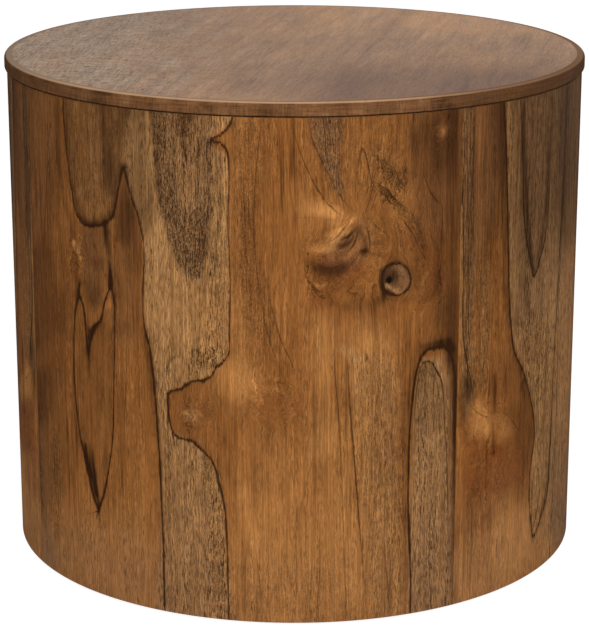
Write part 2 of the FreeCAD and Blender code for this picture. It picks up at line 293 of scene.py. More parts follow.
# The wall: four wide leaves of teak veneer, cut round the log, with the grain upright and butted at
# the seams. A leaf's growth lines and tones are drawn as smooth lines and outlines on it, in
# millimetres along the drum and up it, and the material turns them into wood.
# Millimetres, apart from the angle.
LEAF_GRID = 2.0
LEAF_ARRIS = 0.4
LINE_REACH = 18.0
LINE_SPACING = 2.5
OUTLINE_SPACING = 5.0
SHARP_EDGE = math.radians(30)

leaf_boxes = {name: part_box(f"wall_veneer_{name}") for name in ("front", "right", "back", "left")}
WALL_RADIUS = leaf_boxes["left"][0].x * -1
WALL_UNDER = leaf_boxes["front"][0].z
WALL_UPPER = leaf_boxes["front"][1].z
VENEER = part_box("top_face_veneer")[1].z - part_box("top_face_veneer")[0].z
seams = {
    "left": math.asin(leaf_boxes["front"][0].x / WALL_RADIUS),
    "right": math.asin(leaf_boxes["front"][1].x / WALL_RADIUS),
    "right_back": math.acos(-leaf_boxes["right"][1].y / WALL_RADIUS),
    "left_back": 2 * math.pi - math.acos(-leaf_boxes["left"][1].y / WALL_RADIUS),
}


def section_spun(section, start_angle, span, steps):
    """A closed section of radii and heights, spun about the drum's axis from one angle through a span."""
    shape = bmesh.new()
    towards = Vector((math.sin(start_angle), -math.cos(start_angle), 0))
    points = [shape.verts.new(towards * radius + Vector((0, 0, height))) for radius, height in section]
    for index, point in enumerate(points):
        shape.edges.new((point, points[(index + 1) % len(points)]))
    bmesh.ops.spin(shape, geom=list(shape.edges) + list(shape.verts), cent=(0, 0, 0), axis=(0, 0, 1),
                   angle=span, steps=steps, use_merge=False)
    bmesh.ops.holes_fill(shape, edges=[edge for edge in shape.edges if edge.is_boundary], sides=0)
    bmesh.ops.recalc_face_normals(shape, faces=list(shape.faces))
    for face in shape.faces:
        face.smooth = len(face.verts) == 4
    for edge in shape.edges:
        edge.smooth = edge.calc_face_angle(math.pi) < SHARP_EDGE
    return shape


def piece_of(name, shape):
    """A piece of the table from its finished bmesh."""
    mesh = bpy.data.meshes.new(name)
    shape.to_mesh(mesh)
    shape.free()
    piece = bpy.data.objects.new(name, mesh)
    bpy.context.scene.collection.objects.link(piece)
    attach(piece, "root")
    return piece


def smooth_line(points, spacing=LINE_SPACING):
    """A smooth line through chosen points, each a place along the drum, a height and a weight."""
    chosen = np.array([point if len(point) == 3 else (*point, 1.0) for point in points], float)
    padded = np.vstack([2 * chosen[0] - chosen[1], chosen, 2 * chosen[-1] - chosen[-2]])
    stretches = []
    for first, second, third, fourth in zip(padded, padded[1:], padded[2:], padded[3:]):
        count = max(2, int(np.hypot(*(third - second)[:2]) / spacing))
        share = np.arange(count)[:, None] / count
        bend = 2 * second + (third - first) * share
        bend = bend + (2 * first - 5 * second + 4 * third - fourth) * share**2
        bend = bend + (3 * second - first - 3 * third + fourth) * share**3
        stretches.append(bend / 2)
    return np.vstack(stretches + [chosen[-1:]])


class Spread:
    """A leaf's points, sorted by height, so that the ones near a stretch of line are soon found."""

    def __init__(self, places):
        self.places = places
        self.order = np.argsort(places[:, 1])
        self.heights = places[self.order, 1]

    def beside(self, begins, ends, reach):
        """The points at the height of a straight stretch, and as far above and below it as the reach."""
        low, high = sorted((begins[1], ends[1]))
        first, last = np.searchsorted(self.heights, (low - reach, high + reach))
        return self.order[first:last]

    def from_line(self, line, reach):
        """Each point's signed distance to a line, and the line's weight and slope at its nearest place."""
        distance = np.full(len(self.places), float(reach))
        side = np.ones(len(self.places))
        weight = np.zeros(len(self.places))
        slope = np.zeros(len(self.places))
        for begins, ends in zip(line, line[1:]):
            run = (ends - begins)[:2]
            length = np.hypot(*run)
            if length == 0:
                continue
            near = self.beside(begins, ends, reach)
            near = near[abs(self.places[near, 0] - (begins[0] + ends[0]) / 2) < reach + abs(run[0]) / 2]
            offset = self.places[near] - begins[:2]
            share = np.clip(offset @ run / length**2, 0, 1)
            away = np.hypot(*(offset - share[:, None] * run).T)
            closer = away < distance[near]
            found = near[closer]
            distance[found] = away[closer]
            side[found] = np.where(run[0] * offset[closer, 1] > run[1] * offset[closer, 0], 1, -1)
            weight[found] = begins[2] + (ends[2] - begins[2]) * share[closer]
            slope[found] = abs(run[0]) / length
        return distance * side, weight, slope

    def in_outline(self, outline, softness):
        """How far each point lies in a closed outline: 1 inside, 0 outside and soft across its edge."""
        line = smooth_line([*outline, outline[0]], spacing=OUTLINE_SPACING)
        distance = abs(self.from_line(line, softness)[0])
        inside = np.zeros(len(self.places), bool)
        for begins, ends in zip(line, line[1:]):
            if begins[1] == ends[1]:
                continue
            near = self.beside(begins, ends, 0)
            across, height = self.places[near].T
            crossing = begins[0] + (height - begins[1]) * (ends[0] - begins[0]) / (ends[1] - begins[1])
            inside[near] ^= across < crossing
        return 0.5 + np.where(inside, 0.5, -0.5) * distance / softness


def in_spot(places, centre, across, along):
    """A soft round spot: 1 at its centre and fading over these distances."""
    offset = (places - centre[:2]) / (across, along)
    return np.exp(-(offset**2).sum(1))


def picked(*pixels):
    """Points picked on the photograph: pixels across and down, and a line's weight where it changes."""
    points = []
    weight = 1
    for x, y, *changed in pixels:
        weight = changed[0] if changed else weight
        along, height = on_drum(x, y, WALL_RADIUS)
        points.append((along * 1000, height * 1000, weight))
    return points


def size_of(pixels):
    """About how long a run of pixels is on the front of the drum, in millimetres."""
    return pixels * (CAMERA_DISTANCE - WALL_RADIUS) / FOCAL_PIXELS * 1000


class Figure:
    """The figure of one leaf: growth lines, and zones, strokes and spots of tone."""

    def __init__(self):
        self.lines = []
        self.fine_lines = []
        self.zones = []
        self.strokes = []
        self.spots = []
        self.knots = []

    def line(self, *pixels, halo):
        """A growth line. Its halo is a shade on the left of its run, or on the right where negative."""
        self.lines.append((picked(*pixels), halo))

    def fine_line(self, *pixels, halo=0):
        """A growth line that crosses the grain with smaller jags."""
        self.fine_lines.append((picked(*pixels), halo))

    def zone(self, softness, *pixels, **tones):
        """Tones inside an outline, with their strengths. The softness of its edge is in millimetres."""
        self.zones += [(tone, picked(*pixels), softness, strength) for tone, strength in tones.items()]

    def stroke(self, width, *pixels, **tones):
        """Tones along a soft line."""
        for tone, strength in tones.items():
            self.strokes.append((tone, picked(*pixels), size_of(width), strength))

    def spot(self, x, y, across, along, **tones):
        """Tones round one place."""
        for tone, strength in tones.items():
            self.spots.append((tone, picked((x, y))[0], size_of(across), size_of(along), strength))

    def knot(self, kind, x, y, size):
        """A knot that pushes the grain aside: bent round it, or burst."""
        self.knots.append((kind, picked((x, y))[0], size_of(size)))

    def mirrored(self, about):
        """The same figure as on the next leaf off the log, turned over like the page of a book."""
        other = Figure()

        def turned(points):
            return [(about - point[0], *point[1:]) for point in points]

        other.lines = [(turned(points), -halo) for points, halo in self.lines]
        other.fine_lines = [(turned(points), -halo) for points, halo in self.fine_lines]
        other.zones = [(tone, turned(points), *rest) for tone, points, *rest in self.zones]
        other.strokes = [(tone, turned(points), *rest) for tone, points, *rest in self.strokes]
        other.spots = [(tone, turned([centre])[0], *rest) for tone, centre, *rest in self.spots]
        other.knots = [(kind, turned([centre])[0], size) for kind, centre, size in self.knots]
        return other


TONES = ("sap", "fleck", "gold", "dusk", "red", "grey", "knot", "curl")
# How wide a halo is and how weak on its other side, how far a stroke reaches in its own widths, and in
# a knot's own sizes how long it is, and how a bent and a burst knot push the grain aside.
HALO_WIDTH = 4.5
HALO_OTHER_SIDE = 0.25
STROKE_REACH = 2.5
KNOT_STRETCH = 1.6
KNOT_CORE = 0.6
BURST_CORE = 0.3
BURST_REACH = 4.0


def drawn_on(piece, figure, middle):
    """Writes a figure onto a leaf as attributes of its points."""
    mesh = piece.data
    count = len(mesh.vertices)
    points = np.empty(count * 3)
    mesh.vertices.foreach_get("co", points)
    points = points.reshape(-1, 3)
    angle = np.arctan2(points[:, 0], -points[:, 1])
    angle += np.round((middle - angle) / (2 * math.pi)) * 2 * math.pi
    places = np.stack([angle * WALL_RADIUS, points[:, 2]], 1) * 1000
    spread = Spread(places)
    tones = {tone: np.zeros(count) for tone in TONES}
    for channel, lines in (("line", figure.lines), ("fine_line", figure.fine_lines)):
        found = np.full(count, LINE_REACH)
        details = np.zeros((count, 3))
        for chosen, halo in lines:
            distance, weight, slope = spread.from_line(smooth_line(chosen), LINE_REACH)
            nearer = abs(distance) < abs(found)
            found[nearer] = distance[nearer]
            details[nearer] = np.stack([distance, weight, slope], 1)[nearer]
            if halo:
                fade = np.exp(-abs(distance) / HALO_WIDTH) * (0.5 + slope)
                side = np.where(distance * halo > 0, 1.0, HALO_OTHER_SIDE)
                tones["dusk"] += abs(halo) * weight * fade * side
        details[:, 0] = found
        mesh.attributes.new(channel, "FLOAT_VECTOR", "POINT").data.foreach_set("vector", details.ravel())
    for tone, outline, softness, strength in figure.zones:
        tones[tone] += spread.in_outline(outline, softness) * strength
    for tone, chosen, width, strength in figure.strokes:
        distance, weight, _ = spread.from_line(smooth_line(chosen), width * STROKE_REACH)
        tones[tone] += weight * strength * np.exp(-((distance / width) ** 2))
    for tone, centre, across, along, strength in figure.spots:
        tones[tone] += in_spot(places, centre, across, along) * strength
    grain = np.stack([places[:, 0], places[:, 1], np.zeros(count)], 1)
    for kind, centre, size in figure.knots:
        offset = places - centre[:2]
        away = np.hypot(*offset.T)
        if kind == "burst":
            fade = np.exp(-away / (size * BURST_REACH))
            grain[:, 0] += size * offset[:, 0] / np.hypot(away, size * BURST_CORE) * fade
        else:
            square = offset[:, 0] ** 2 + (offset[:, 1] / KNOT_STRETCH) ** 2
            grain[:, 0] -= offset[:, 0] * size**2 / np.maximum(square, size**2 * KNOT_CORE)
    mesh.attributes.new("grain", "FLOAT_VECTOR", "POINT").data.foreach_set("vector", grain.ravel())
    for tone in TONES:
        mesh.attributes.new(tone, "FLOAT", "POINT").data.foreach_set("value", tones[tone])


# The front leaf's figure. From the left: a dark line that folds down and up again and then runs to the
# floor, an eye below its fold, a grey tongue, a ragged line down to the floor, and orange heartwood
# with a burst of knots and a dark arch beside the seam.
front = Figure()
# The line that folds down and up again, and then runs to the floor.
fold = [(63, 94, 1.2), (63.3, 114, 1.3), (64.5, 132), (66.5, 150, 1.2), (69.5, 175, 1.3), (72, 192, 1.5),
        (74, 205, 1.7), (78, 217, 1.8), (83, 223, 1.7), (89, 226.5, 1.8), (96, 226.5, 1.5),
        (102, 225.5, 1.7), (108, 222), (113, 215), (116, 203, 1.4), (118, 191), (120, 180, 1.5),
        (123.4, 168, 2), (127, 181, 1.4), (129.6, 192, 1.3), (133, 203, 1.5), (137, 213, 1.6),
        (139.5, 224, 1.4), (143, 240, 1.2), (144, 258), (143.5, 275, 1.3), (143, 300, 1.2),
        (143.3, 318, 1.4), (146, 334, 1.8), (149.5, 348, 2.4), (152, 366, 2.8), (154, 388), (156, 408, 2.4),
        (158.3, 440, 2), (160, 462, 1.8), (161.2, 493, 1.7), (162.8, 527, 1.6), (163.6, 550),
        (164.3, 589, 1.5), (165, 618, 1.4)]
front.line(*fold, halo=0.5)

# The ragged line.
ragged_line = [(233, 112, 1.2), (231.5, 121, 1.4), (227, 129), (219, 135.5, 1.5), (210.5, 140.8, 2.2),
               (218, 141.8, 1.9), (225, 148, 1.6), (228.3, 157, 1.4), (229, 172, 1.1), (228.6, 200, 1),
               (228.3, 224), (229, 250, 1.1), (230, 285), (229.8, 318, 1.2), (229.2, 345, 1.3),
               (227.8, 355, 1.6), (222, 363, 1.9), (215.5, 367.5), (211.5, 376, 2), (204, 380, 2.1),
               (194, 380.5), (186.5, 385, 2.2), (180, 390), (170.5, 391.3), (168, 397, 1.9),
               (168.3, 407, 1.6), (169.3, 419), (172, 430, 1.9), (176, 435.5, 2.1), (184, 439.5, 2),
               (192.5, 441, 2.1), (200, 448, 2), (208.5, 457, 1.9), (214.5, 466, 1.8), (219, 482, 1.7),
               (223.5, 500, 1.8), (226, 522, 1.6), (227.3, 550, 1.4), (228.3, 589), (229.3, 632)]
front.line(*ragged_line, halo=0.25)

# The arch, up its left side and down its right.
arch = [(409.5, 628, 1.3), (410.6, 588, 1.5), (410, 559, 1.6), (408.8, 531, 1.7), (408.2, 502),
        (408.4, 473, 1.8), (409, 446, 1.9), (410.6, 418), (412.6, 398), (415, 380, 2), (418.5, 365, 2.2),
        (422.5, 355, 2.4), (427, 350.5, 2.3), (433, 349.2, 2.4), (440, 347.2), (446, 348.4),
        (450.5, 355, 2.3), (453.6, 367, 2.1), (455.8, 385, 1.9), (457.2, 408, 1.7), (458, 430, 1.6),
        (458, 480, 1.4), (457.6, 520, 1.2), (457.2, 560), (456.6, 612, 1.1)]
front.line(*arch, halo=0.4)

# The eye, closed at its foot.
eye = [(98.5, 511, 3), (102, 501, 2.6), (104.8, 490, 2.2), (107.3, 478, 2), (110, 462, 1.8),
       (112, 447, 1.7), (113.3, 426, 1.5), (113.8, 397, 1.4), (114.3, 359, 1.3), (114.8, 320, 1.4),
       (114, 300, 1.7), (110.5, 284, 2.6), (107.2, 294, 2), (104.3, 304, 1.8), (102.4, 314, 1.9),
       (100, 322, 2.3), (95, 325, 2.4), (91.5, 333, 2.8), (88.5, 350, 2.6), (86.3, 336, 2.2),
       (85.3, 323, 1.9), (84, 311, 1.8), (82, 302, 2), (78.8, 296, 2.6), (75.6, 309, 1.8), (74.2, 329, 1.6),
       (73.9, 358, 1.5), (74.4, 378), (76.5, 407, 1.6), (78.8, 426, 1.8), (81.3, 441, 2.3),
       (84.4, 455, 2.8), (88, 472), (92, 489), (95.6, 502, 3), (98.5, 511)]
front.fine_line(*eye, halo=0.35)

# The line inside the arch.
inner_arch = [(413.4, 440, 0.2), (414.6, 412, 0.8), (417, 388, 1), (420.5, 368, 1.2), (425.5, 361),
              (431, 362, 1.3), (435, 368, 1.4), (440.4, 378, 1.5), (442.8, 388, 1.2), (443.8, 402, 1.1),
              (444.4, 420), (445.6, 439, 1), (446.8, 462), (447.5, 493), (448, 531, 0.9), (447.4, 560),
              (446, 606, 0.8)]
front.fine_line(*inner_arch, halo=-0.2)

# The strip at the left edge.
front.fine_line((40, 250, 0.3), (36, 330, 0.9), (37, 420), (42, 500, 0.7))
front.fine_line((50, 120, 0.5), (47, 170, 0.9), (44, 240), (43, 270, 0.4))
front.zone(8, (24, 370), (50, 370), (52, 420), (26, 420), dusk=0.35)
front.zone(10, (10, 60), (60, 90), (64, 200), (70, 300), (66, 420), (62, 500), (10, 500), dusk=0.55)
front.zone(14, (10, 60), (56, 90), (54, 180), (40, 240), (10, 240), grey=0.35)
front.zone(12, (10, 410), (44, 420), (50, 520), (60, 600), (10, 560), grey=0.4)
front.zone(8, (24, 250), (50, 250), (50, 340), (26, 340), dusk=0.3)
front.zone(14, (44, 250), (64, 244), (70, 300), (62, 380), (48, 380), red=0.35)
front.zone(5, (22, 262), (30, 266), (34, 284), (31, 304), (22, 300), fleck=0.9)
pored = [(26, 420), (36, 430), (42, 470), (40, 520), (28, 520)]
front.zone(6, *pored, fleck=1.2)
front.zone(8, *pored, dusk=0.3)
front.zone(4, (52, 430), (60, 426), (62, 500), (58, 540), (50, 520), fleck=0.6)

# Inside the fold.
front.zone(4, (64, 90), (66, 150), (73, 200), (82, 223), (96, 226), (112, 217), (118, 188), (124, 162),
           (127, 120), (128, 92), sap=0.42, dusk=0.62, fleck=0.25)
front.zone(5, (78, 196), (94, 204), (112, 194), (110, 214), (98, 223), (84, 220), gold=0.6)
front.zone(6, (98, 96), (120, 96), (118, 160), (110, 196), (100, 170), dusk=0.25)
front.zone(8, (84, 96), (122, 96), (120, 170), (108, 206), (88, 180), grey=0.3)
front.zone(7, (116, 196), (122, 172), (126, 172), (131, 200), (128, 240), (118, 240), dusk=0.55)
front.stroke(7, (102, 104), (105, 140), (108, 170), (109, 190, 0.4), dusk=0.3)
front.stroke(5, (57, 100), (58, 150), (64, 200), (72, 224, 0.6), dusk=0.45)

# Below the fold: the pale burl, and the wedge down to the eye.
front.zone(5, (123, 176), (131, 200), (138, 222), (142, 260), (141, 330), (118, 336), (111, 290), (112, 240),
           (117, 204), dusk=0.62)
front.zone(4, (68, 240), (86, 240), (88, 268), (68, 268), curl=0.7)
front.zone(6, (79, 230), (104, 228), (106, 262), (96, 268), (84, 258), dusk=0.65)
front.zone(6, (79, 230), (106, 228), (110, 290), (96, 310), (84, 290), grey=0.4)
front.zone(7, (82, 268), (104, 262), (106, 290), (96, 308), (90, 306), (84, 290), dusk=0.6)
front.stroke(4, (106.5, 224), (107, 240, 0.8), (108, 260, 0.3), dusk=1)
front.stroke(3, (109, 262, 0.3), (110, 276, 1), (110.5, 288), dusk=0.7)
front.stroke(3, (77, 300, 0.8), (78.5, 286, 0.6), (84, 282, 0.3), dusk=0.9)
front.stroke(3, (110, 286), (110.6, 276, 0.7), (110.4, 264, 0.3), dusk=0.9)
front.stroke(2.4, (79, 294), (79.4, 282, 0.8), (80.5, 268, 0.2), dusk=1)
front.stroke(3.5, (108, 232, 0.5), (109, 250, 1), (110, 268, 0.6), (110.4, 284, 1), dusk=0.3)
front.stroke(2, (104.5, 224), (105, 234, 0.7), (105.5, 246, 0.3), dusk=0.5)
front.spot(74, 243, 3, 3.5, gold=2.2)
front.spot(79, 251, 2.5, 2.5, gold=1.8)
front.spot(80.5, 258, 2, 2.2, gold=2)
front.spot(77, 250, 6, 9, sap=0.6)
front.spot(73.5, 252, 1.8, 2.5, dusk=1.4)

# The eye, and the wood beside it.
front.fine_line((126, 250, 0.3), (127, 310, 0.6), (126, 380, 0.8), (124, 440, 0.7), (126, 500, 0.3))
front.zone(5, (80, 322), (88, 352), (94, 338), (112, 316), (111, 420), (104, 470), (92, 478), (80, 430),
           (76, 370), dusk=0.4)
front.zone(16, (40, 520), (150, 540), (160, 640), (60, 640), grey=0.25)
front.zone(6, (98, 335), (118, 330), (118, 410), (100, 410), dusk=0.25)
front.zone(8, (54, 288), (98, 288), (98, 335), (56, 335), dusk=0.25)
front.zone(2, (86, 322), (90, 328), (97, 324), (95, 332), (91, 342), (88.6, 354), (87, 340), dusk=1)
front.zone(24, (62, 486), (110, 512), (150, 486), (160, 560), (164, 640), (90, 640), (40, 600), sap=0.35,
           gold=0.25)
front.stroke(2, (88.5, 348), (88.8, 362, 0.8), (89, 378, 0.3), dusk=1.2)
front.stroke(3.5, (85, 446, 0.5), (87, 460, 1), (91, 474), (96, 494), dusk=1.1)
front.stroke(2.5, (92, 446, 0.3), (93, 462, 1), (96, 482), (99, 506), dusk=1)
front.stroke(2.5, (99, 510), (99.5, 522, 0.7), (100, 534, 0.2), dusk=0.8)
front.stroke(6, (124, 350, 0.3), (122, 400, 1), (121, 440), (122, 480, 0.4), dusk=0.45)
front.stroke(1.2, (86, 444, 0.6), (86.5, 456, 1), (87.5, 470, 0.4), dusk=0.9)
front.stroke(1.3, (89.5, 440, 0.3), (90, 458, 1), (91.5, 478, 0.6), dusk=0.8)
front.stroke(1.2, (93, 452, 0.3), (94, 470, 1), (96, 492, 0.7), dusk=0.8)
front.stroke(2.5, (75, 330), (76, 362), (79, 400), (83, 436, 0.5), gold=0.35)
front.stroke(5, (104, 330), (106, 370), (104, 420), (100, 470, 0.5), gold=0.35)
front.spot(98.5, 508, 1.6, 6, knot=0.6)
front.spot(88.5, 338, 1.8, 8, knot=0.6)

# Between the fold and the tongue.
front.zone(8, (122, 92), (150, 92), (154, 150), (158, 200), (150, 236), (138, 214), (124, 160), dusk=0.45)
front.zone(5, (129, 96), (147, 96), (151, 150), (156, 200), (152, 244), (140, 230), (132, 196), fleck=-0.4)
front.zone(8, (112, 170), (126, 166), (140, 230), (141, 330), (116, 336), grey=0.35)
front.zone(8, (128, 96), (150, 100), (152, 160), (158, 200), (150, 232), (138, 214), (130, 180), dusk=0.35)
front.zone(6, (127, 205), (143, 220), (143, 270), (127, 270), dusk=0.25)

# The grey tongue, speckled in its middle.
front.fine_line((184.4, 148, 0.8), (186, 158, 1.4), (187, 166, 0.6))
front.zone(4, (128, 92), (124.5, 164), (131, 200), (139, 222), (143, 250), (143, 300), (146, 334),
           (152, 362), (158, 430), (162, 520), (166, 632), (229, 640), (227, 560), (223, 500), (213, 464),
           (191, 441), (171, 428), (168, 395), (186, 385), (212, 374), (228, 354), (230, 280), (228, 200),
           (228, 158), (212, 141), (233, 108), sap=0.85)
speckled = [(149, 100), (153, 147), (156, 182), (160, 212), (165, 228), (170, 243), (175, 256), (182, 272),
            (192, 279), (202, 277), (205, 262), (207.5, 243), (208.6, 224), (209.5, 205), (210.5, 180),
            (211, 157), (209, 110)]
front.zone(1.5, *speckled, fleck=0.6, grey=0.65)
front.zone(1.8, *speckled, dusk=0.5)
front.zone(5, (150, 100), (154, 147), (157, 182), (161, 212), (166, 228), (176, 256), (184, 272), (192, 278),
           (202, 276), (205, 250), (207, 215), (200, 214), (188, 214), (178, 200), (168, 170), (164, 110),
           dusk=0.2)
front.zone(5, (149, 100), (154, 150), (158, 200), (166, 228), (178, 262), (186, 278), (201, 277), (206, 250),
           (208, 215), (207, 190), (200, 204), (190, 212), (180, 204), (172, 182), (167, 150), (166, 110),
           fleck=0.45)
front.zone(7, (170, 106), (174, 150), (178, 185), (188, 200), (198, 192), (205, 170), (205, 110), gold=0.55)
front.zone(3, (175, 100), (177, 128), (181, 146), (186, 160), (189.5, 146), (190, 100), dusk=0.5, fleck=0.5)
front.zone(10, (150, 262), (178, 276), (196, 290), (226, 276), (226, 340), (208, 372), (190, 376),
           (176, 352), (160, 352), (148, 320), gold=0.3)
front.zone(6, (213, 150), (210, 230), (207, 300), (205, 345), (212, 368), (226, 355), (229, 300), (228, 200),
           (226, 158), fleck=0.5)
front.zone(5, (182, 344), (204, 346), (226, 350), (222, 362), (208, 372), (196, 377), (190, 362), fleck=0.7)
front.zone(3, (170, 388), (171, 370), (178, 360), (189, 366), (193, 378), (184, 384), red=0.35)
front.zone(8, (144, 260), (166, 262), (186, 292), (190, 340), (168, 352), (150, 340), fleck=-0.35)
front.zone(8, (200, 150), (222, 150), (222, 240), (204, 250), dusk=0.28)
front.zone(14, (206, 300), (250, 300), (262, 400), (228, 410), (200, 380), gold=0.4)
front.stroke(4.5, (144, 330, 0.6), (147, 352, 1), (151, 376), (153, 400), (155, 430, 0.5), dusk=0.8)
front.stroke(3.5, (150, 112), (153, 147), (157, 185), (162, 214), (170, 240, 0.5), sap=0.5)
front.stroke(2, (167, 372, 0.4), (170, 362, 1), (177, 356), (186, 360, 0.5), dusk=0.6)
front.stroke(2, (163, 396, 0.4), (165, 376, 1), (170, 356), (176, 344, 0.4), dusk=0.5)
front.stroke(3, (213, 146, 0.5), (212, 190, 1), (210, 240), (207, 276, 0.5), dusk=0.4)
front.stroke(1.3, (219, 155, 0.5), (220, 200, 1), (217, 250), (215, 296, 0.5), dusk=0.8)
front.stroke(2.5, (222, 152, 0.5), (223, 200, 1), (224, 260), (224, 300, 0.5), gold=0.4)
front.stroke(6, (210, 118), (222, 122), (228, 118), sap=0.4)
front.stroke(4, (216, 118), (224, 124), (214, 132), gold=0.5)

# The burl that reaches into the ragged line.
front.zone(8, (172, 402), (186, 396), (214, 396), (218, 418), (204, 436), (184, 434), (172, 420), dusk=0.4,
           red=0.4, sap=0.3)
front.zone(6, (176, 402), (200, 398), (214, 408), (208, 428), (184, 430), curl=0.8)
front.spot(186, 413, 6, 2, gold=1.2)
front.spot(193, 417, 3, 3, gold=1.2)
front.spot(199, 413, 3, 4, gold=0.9)
front.spot(192, 416, 9, 7, sap=0.5)

# The ragged line's foot.
front.fine_line((172.4, 433, 1.8), (174.8, 447, 0.8))
front.zone(6, (198, 442), (216, 462), (225, 500), (228.5, 600), (229, 640), (216, 640), (209, 560),
           (206, 500), (200, 462), fleck=0.65)
front.zone(8, (166, 440), (196, 446), (206, 480), (210, 600), (206, 636), (168, 630), (164, 520), fleck=0.22)
front.zone(10, (160, 440), (196, 444), (214, 480), (222, 560), (226, 640), (166, 640), grey=0.3)
front.stroke(3, (158, 470, 0.5), (159, 520, 1), (161, 580), (162, 620, 0.5), dusk=0.4)

# The heartwood left of the burst.
front.fine_line((262, 118, 0.5), (259, 140, 0.9), (255.5, 175), (254, 215), (255, 250), (260, 295, 0.8),
                (268, 335), (281, 372, 0.7), (290, 392, 0.3))
front.fine_line((244, 150, 0.3), (243, 180, 0.7), (245, 230), (244, 270, 0.3))
front.fine_line((266, 262, 0.3), (270, 300, 0.7), (281, 340, 0.9), (291, 362), (299, 384, 0.4))
front.fine_line((246, 260, 0.3), (247, 330, 0.7), (240, 352, 0.4))
front.zone(10, (232, 108), (262, 108), (256, 200), (258, 300), (268, 360), (234, 360), fleck=0.25)
front.zone(6, (276, 258), (297, 258), (297, 284), (276, 284), dusk=0.25)
front.zone(5, (238, 108), (274, 108), (262, 200), (262, 260), (276, 330), (262, 344), (240, 300), fleck=0.3)
front.zone(8, (230, 112), (250, 112), (246, 240), (250, 340), (232, 340), gold=0.3)
front.stroke(4, (238, 130, 0.5), (246, 118, 1), (256, 124, 0.5), gold=0.4)

# Above the burst.
front.fine_line((293, 118, 0.5), (295.5, 138, 0.8), (303, 160, 1), (311, 178, 1.1), (322, 196),
                (333, 209, 1), (343, 216, 0.5))
front.fine_line((307.5, 118, 0.5), (312, 138, 0.9), (320, 158, 1), (329, 176), (340, 196), (350, 208, 0.6))
front.fine_line((355, 196, 0.4), (356.4, 176, 0.7), (359.4, 158, 0.9), (362, 147, 1.1), (366.5, 158),
                (369.5, 172), (372.5, 190, 0.5))
front.fine_line((392, 164, 0.4), (396, 172, 1), (401, 184, 1.1), (403, 176, 0.6))
front.zone(4, (305, 108), (312, 140), (322, 166), (333, 188), (343, 200), (343, 182), (341, 150), (340, 108),
           sap=0.36, fleck=0.65, dusk=0.5, grey=0.6)
front.zone(10, (340, 112), (350, 190), (372, 196), (384, 180), (400, 190), (408, 150), (404, 112), fleck=0.3)
front.stroke(4, (364, 148, 0.6), (362, 170, 1), (363, 196, 0.6), gold=0.35)
front.stroke(6, (382, 160), (390, 172), (398, 182), (404, 172, 0.6), dusk=0.6)
front.stroke(10, (380, 158), (390, 174), (402, 184), fleck=0.7)

# The strip beside the seam.
front.fine_line((421, 168, 0.5), (427.5, 184, 1), (433.5, 197, 1.2), (439, 203, 0.8))
front.fine_line((441.8, 203, 0.6), (442.5, 220, 1.1), (441.5, 240, 0.9), (441.5, 252, 0.3))
front.fine_line((403, 164, 0.4), (406, 172, 1.1), (405, 160, 0.6))
front.fine_line((413.4, 111, 1.8), (413.6, 121, 1.2))
front.fine_line((448, 118, 0.5), (450, 180, 0.8), (452, 260), (450, 330, 0.4))
front.zone(4, (448, 96), (460, 96), (460, 430), (456, 430), (452, 360), (450, 340), dusk=0.4)
front.zone(5, (432, 120), (452, 118), (454, 142), (434, 146), curl=0.8)
front.zone(12, (406, 95), (458, 95), (458, 345), (438, 340), (424, 280), (410, 220), dusk=0.36)
front.zone(12, (406, 95), (458, 95), (458, 220), (424, 240), (408, 200), grey=0.35)
front.zone(14, (418, 112), (458, 108), (458, 160), (436, 176), (420, 150), dusk=0.35)
front.zone(14, (418, 112), (458, 108), (458, 340), (436, 340), (424, 250), (420, 150), red=0.4)
front.zone(16, (396, 130), (424, 110), (458, 108), (458, 330), (430, 330), (420, 260), (408, 200), dusk=0.4)
front.stroke(5, (404, 300), (424, 300, 0.7), (436, 288, 0.6), (440, 270, 0.4), dusk=0.45)
front.stroke(2.5, (421, 290, 0.6), (424, 278, 1), (430, 270, 0.6), gold=0.8)
front.stroke(4, (410, 118), (414, 150), (411, 180, 0.6), dusk=0.2)
front.stroke(5, (434, 200, 0.5), (440, 240, 1), (442, 290, 0.6), red=0.5)
front.spot(443, 131, 3, 4, gold=1.1)
front.spot(437, 127, 1.8, 1.8, gold=1.3)
front.spot(448, 127, 1.6, 1.8, gold=1.2)
front.spot(442, 137, 2, 1.8, gold=1)
front.spot(443, 130, 7, 7, dusk=-0.5)

# The burst of knots.
front.knot("burst", 360, 212, 13)
front.fine_line((362, 238, 0.4), (360, 252, 0.8), (352, 262), (346, 268, 0.4))
front.fine_line((366, 250, 0.5), (376, 255, 0.8), (388, 257, 0.4))
front.fine_line((352, 218, 0.4), (346, 226, 1), (338, 236), (328, 243, 0.5))
front.fine_line((356, 222, 0.4), (350, 234, 1.1), (344, 244, 0.9), (334, 252, 0.4))
front.fine_line((359, 226, 0.4), (356, 240, 1.2), (350, 250, 1), (343, 256, 0.5))
front.fine_line((364, 220, 0.4), (368, 232, 1.1), (370, 246, 1), (366, 258, 0.5))
front.fine_line((368, 216, 0.4), (376, 226, 0.9), (386, 234, 0.8), (394, 244, 0.4))
front.fine_line((342, 206, 0.4), (332, 202, 0.7), (318, 200, 0.4))
front.fine_line((306, 256, 0.4), (305, 270, 0.8), (310, 284, 1), (319, 296), (332, 300, 0.6))
front.fine_line((316, 262, 0.4), (324, 268, 0.9), (334, 268, 1), (344, 262, 0.5))
front.fine_line((309, 272, 0.4), (313, 285, 0.9), (320, 292), (328, 291, 0.4))
front.zone(14, (290, 186), (318, 188), (346, 206), (350, 222), (322, 232), (292, 224), gold=0.5)
front.zone(4, (314, 199), (330, 203), (342, 213), (330, 219), (314, 212), gold=0.45)
front.zone(14, (266, 190), (300, 190), (350, 214), (350, 240), (300, 260), (268, 250), fleck=-0.35)
